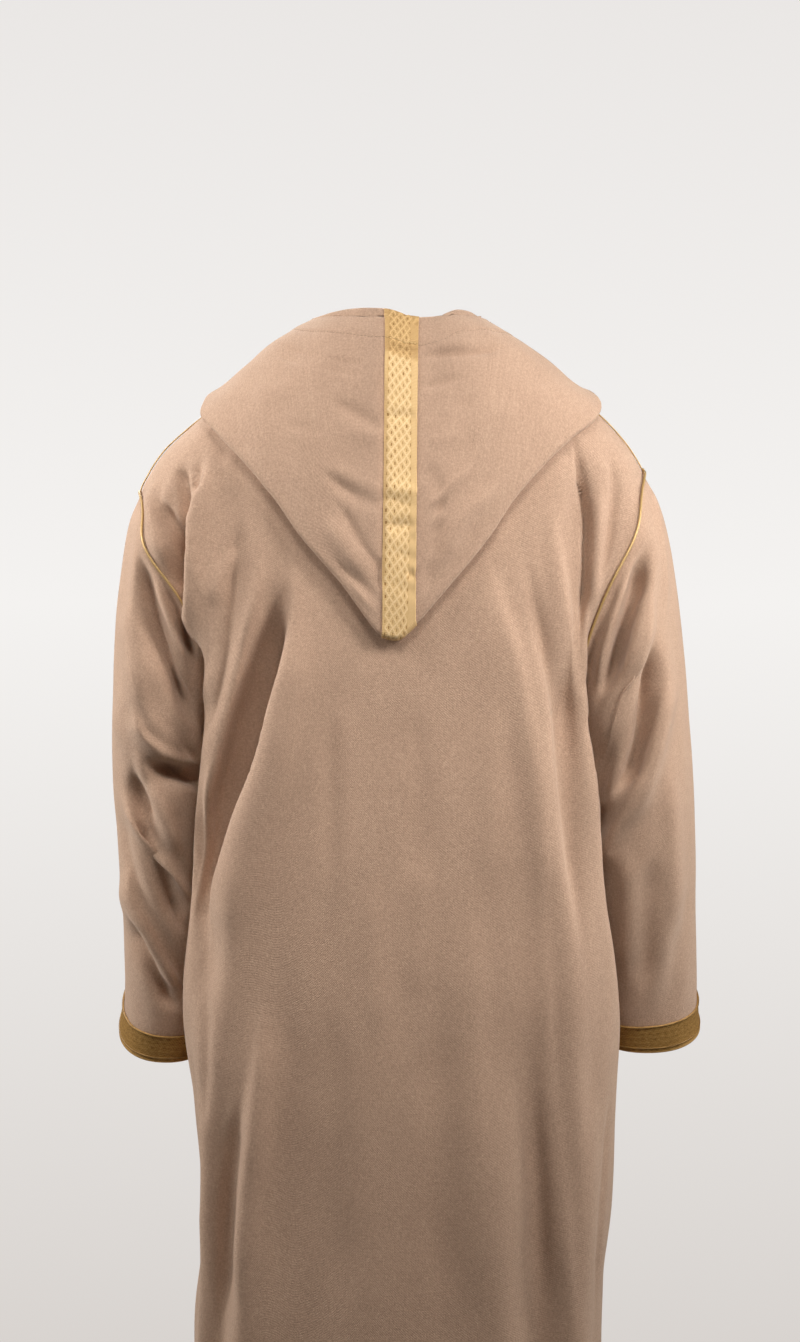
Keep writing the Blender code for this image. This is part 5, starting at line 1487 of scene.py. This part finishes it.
class ROBE_OT_braids(bpy.types.Operator):
    """Make the woven braid down the hood and round both cuffs"""
    bl_idname = "robe.braids"
    bl_label = "Braids"

    def execute(self, context):
        scene = context.scene
        cloth = scene.robe_cloth
        thick = scene.robe_trim.braid_thickness
        first, last = BRAID_COLUMNS
        places = np.linspace(first, last, HOOD_BRAID_COLUMNS)
        wide = np.linspace(first - BRAID_MARGIN, last + BRAID_MARGIN, BRAID_WIDE_COLUMNS)
        grid = hood_grid(wide, cloth)[0][HOOD_ROWS[0] + 1:]
        grid = np.stack([[np.interp(places, wide, row[:, k]) for k in range(3)] for row in grid])
        grid = resampled(grid.transpose(0, 2, 1), BRAID_ROW)
        normal = grid_normal(grid, 1.0)
        runs = run_lengths(grid)
        half = 0.5 * np.ptp(runs[..., 0], axis=1).mean()
        down = runs[-1:, :, 1] - runs[..., 1]
        thread = lattice_thread(runs[..., 0], down, half)
        relief = (thread - 0.5) * BRAID_RELIEF * MM
        from_middle = (grid[..., 0] - grid[..., 0].mean()) / half
        for place, reach, sink, side in BRAID_SAGS:
            share = np.clip(0.5 + 0.5 * side * from_middle, 0.0, 1.0)
            relief = relief - sink * share * np.exp(-((down - place) / reach) ** 2)
        grid = grid + normal * (relief + HOOD_BRAID_LIFT * MM + thick)[..., None]
        piece = cloth_wall("hood_braid_ribbon", grid, normal, thick, braid(scene),
                           rim=BRAID_RIM)
        set_thread(piece, thread)
        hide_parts("hood_braid")
        edges = np.sort(grid[0, (0, -1), 0])
        path = [down_to(np.interp(grid[0, column, 0], edges, HEM_LINE[::-1]), down, grid, column)
                for column in range(HOOD_BRAID_COLUMNS)]
        lift = np.repeat(normal[-HEM_LINE_ROW, :1], HOOD_BRAID_COLUMNS, axis=0)
        stitches("hood_braid_stitches", np.array(path) + lift * (HEM_LINE_LIFT * MM), lift,
                 scene.robe_trim.stitch, pale_thread())
        for side, round_cuff in (("left", 0.39), ("right", 0.42)):
            start = 1.0 - CUFF_BRAID_WIDTH / sleeve_table(side)[0][-1]
            grid = sleeve_grid(side, CUFF_COLUMNS, np.linspace(start, 1.0, CUFF_ROWS), cloth)
            normal = round_normal(grid)
            runs = run_lengths(grid)
            girth = np.ptp(runs[..., 0], axis=1, keepdims=True)
            pitch = girth.mean() / round(girth.mean() / CHEVRON_PITCH)
            around = runs[..., 0] / girth * girth.mean() * CHEVRON_PITCH / pitch
            thread = chevron_thread(around, runs[..., 1], float(runs[-1, :, 1].mean()))
            relief = (thread - 0.5) * BRAID_RELIEF * MM
            lifted = grid + normal * (relief + CUFF_BRAID_LIFT * MM + thick)[..., None]
            piece = cloth_wall("cuff_braid_%s_ribbon" % side, lifted, normal, thick,
                               cuff_braid(scene), closed=True, rim=BRAID_RIM)
            set_thread(piece, thread, closed=True)
            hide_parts("cuff_braid_" + side)
            for edge, share in CUFF_CORD_PLACES.items():
                row = int(share * (CUFF_ROWS - 1))
                path = lifted[row] + normal[row] * (0.5 * CUFF_CORD)
                cord_mesh("cuff_cord_%s_%s" % (side, edge), path, normal[row], CUFF_CORD,
                          CUFF_CORD_PITCH, cuff_edge())
        return {"FINISHED"}


class ROBE_OT_piping(bpy.types.Operator):
    """Make the corded piping of the armholes and shoulders"""
    bl_idname = "robe.piping"
    bl_label = "Piping"

    def execute(self, context):
        trim = context.scene.robe_trim
        radius = trim.cord_radius
        gold = cord(context.scene)
        for side in ("left", "right"):
            turns = np.linspace(-PIPING_REACH, PIPING_REACH, PIPING_POINTS) % (2.0 * math.pi)
            out = armhole_outward(side, turns)
            path = armhole_point(side, turns) + out * (radius + PIPING_LIFT)
            piece = cord_mesh("armhole_cord_" + side, path, out, radius, trim.cord_pitch, gold)
            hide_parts("armhole_piping_" + side)
            levels = np.linspace(*SHOULDER_PIPING, SHOULDER_POINTS)
            edge = np.full(levels.shape, ARMHOLES[side]["way"])
            out = panel_normal(1.0, edge, levels)
            path = panel_point(1.0, edge, levels) + out * radius
            piece = cord_mesh("shoulder_cord_" + side, path, out, SHOULDER_THINNER * radius,
                              SHOULDER_THINNER * trim.cord_pitch, gold)
            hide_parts("shoulder_piping_" + side)
        return {"FINISHED"}


class ROBE_OT_stage(bpy.types.Operator):
    """Set the floor, the soft lights, the backdrop and the camera"""
    bl_idname = "robe.stage"
    bl_label = "Stage"

    def execute(self, context):
        scene = context.scene
        stage = scene.robe_stage
        sides = np.linspace(0.0, 2.0 * math.pi, FLOOR_SIDES, endpoint=False)
        rim = [(FLOOR_RADIUS * math.cos(t), FLOOR_RADIUS * math.sin(t), stage.floor_z)
               for t in sides]
        mesh = bpy.data.meshes.new("studio_floor")
        mesh.from_pydata(rim, [], [tuple(range(len(rim)))])
        mesh.materials.append(finish_of("matt_studio_paper", matt_paper))
        floor = bpy.data.objects.new("studio_floor", mesh)
        scene.collection.objects.link(floor)
        for name, place, aim, size, spread, power in STAGE_LIGHTS:
            lamp = bpy.data.lights.new(name, "AREA")
            lamp.shape = "DISK"
            lamp.size = size
            lamp.spread = math.radians(spread)
            lamp.energy = power * stage.key
            light = bpy.data.objects.new(name, lamp)
            light.visible_camera = False
            light.location = place
            light.rotation_euler = (Vector(place) - Vector(aim)).to_track_quat("Z", "Y").to_euler()
            scene.collection.objects.link(light)
        world = bpy.data.worlds.new("pale_backdrop")
        scene.world = world
        world.use_nodes = True
        tree = world.node_tree
        tree.nodes.clear()
        way = add_node(tree, "ShaderNodeTexCoord").outputs["Generated"]
        up = add_node(tree, "ShaderNodeSeparateXYZ", None, {0: way}).outputs["Z"]
        share = add_node(tree, "ShaderNodeMapRange", None, {
            "Value": up, "From Min": -BACKDROP_REACH, "From Max": BACKDROP_REACH}).outputs[0]
        colours = ramp(tree, share, [(place, linear(given)) for place, given in (
            (0.0, stage.bottom), (BACKDROP_MIDDLE, stage.middle), (1.0, stage.top))])
        seen = add_node(tree, "ShaderNodeLightPath").outputs["Is Camera Ray"]
        strength = add_node(tree, "ShaderNodeMapRange", None, {
            "Value": seen, "To Min": stage.fill, "To Max": 1.0}).outputs[0]
        sky = add_node(tree, "ShaderNodeBackground", None, {
            "Color": colours, "Strength": strength}).outputs[0]
        add_node(tree, "ShaderNodeOutputWorld", None, {"Surface": sky})
        eye = bpy.data.cameras.new("camera")
        eye.lens = stage.lens
        eye.sensor_width = SENSOR_WIDTH
        camera = bpy.data.objects.new("camera", eye)
        camera.location = (0.0, stage.distance, stage.height)
        camera.rotation_euler = (math.pi / 2.0, 0.0, math.pi)
        scene.collection.objects.link(camera)
        scene.camera = camera
        scene.view_settings.view_transform = "Standard"
        return {"FINISHED"}


class ROBE_PT_sidebar(bpy.types.Panel):
    """Sizes, colours and pieces of the robe"""
    bl_label = "Robe"
    bl_idname = "ROBE_PT_sidebar"
    bl_space_type = "VIEW_3D"
    bl_region_type = "UI"
    bl_category = "Robe"

    def draw(self, context):
        for group in (context.scene.robe_cloth, context.scene.robe_trim,
                      context.scene.robe_stage):
            box = self.layout.box()
            for name in group.__annotations__:
                box.prop(group, name)
        for piece in OPERATORS:
            self.layout.operator(piece.bl_idname)


OPERATORS = (ROBE_OT_panels, ROBE_OT_sleeves, ROBE_OT_hood, ROBE_OT_braids, ROBE_OT_piping,
             ROBE_OT_stage)
CLASSES = (RobeCloth, RobeTrim, RobeStage, *OPERATORS, ROBE_PT_sidebar)


def register():
    for made in CLASSES:
        bpy.utils.register_class(made)
    bpy.types.Scene.robe_cloth = PointerProperty(type=RobeCloth)
    bpy.types.Scene.robe_trim = PointerProperty(type=RobeTrim)
    bpy.types.Scene.robe_stage = PointerProperty(type=RobeStage)


def unregister():
    del bpy.types.Scene.robe_stage
    del bpy.types.Scene.robe_trim
    del bpy.types.Scene.robe_cloth
    for made in reversed(CLASSES):
        bpy.utils.unregister_class(made)


def main():
    register()
    for piece in OPERATORS:
        getattr(bpy.ops.robe, piece.bl_idname.split(".")[1])()


if __name__ == "__main__":
    main()
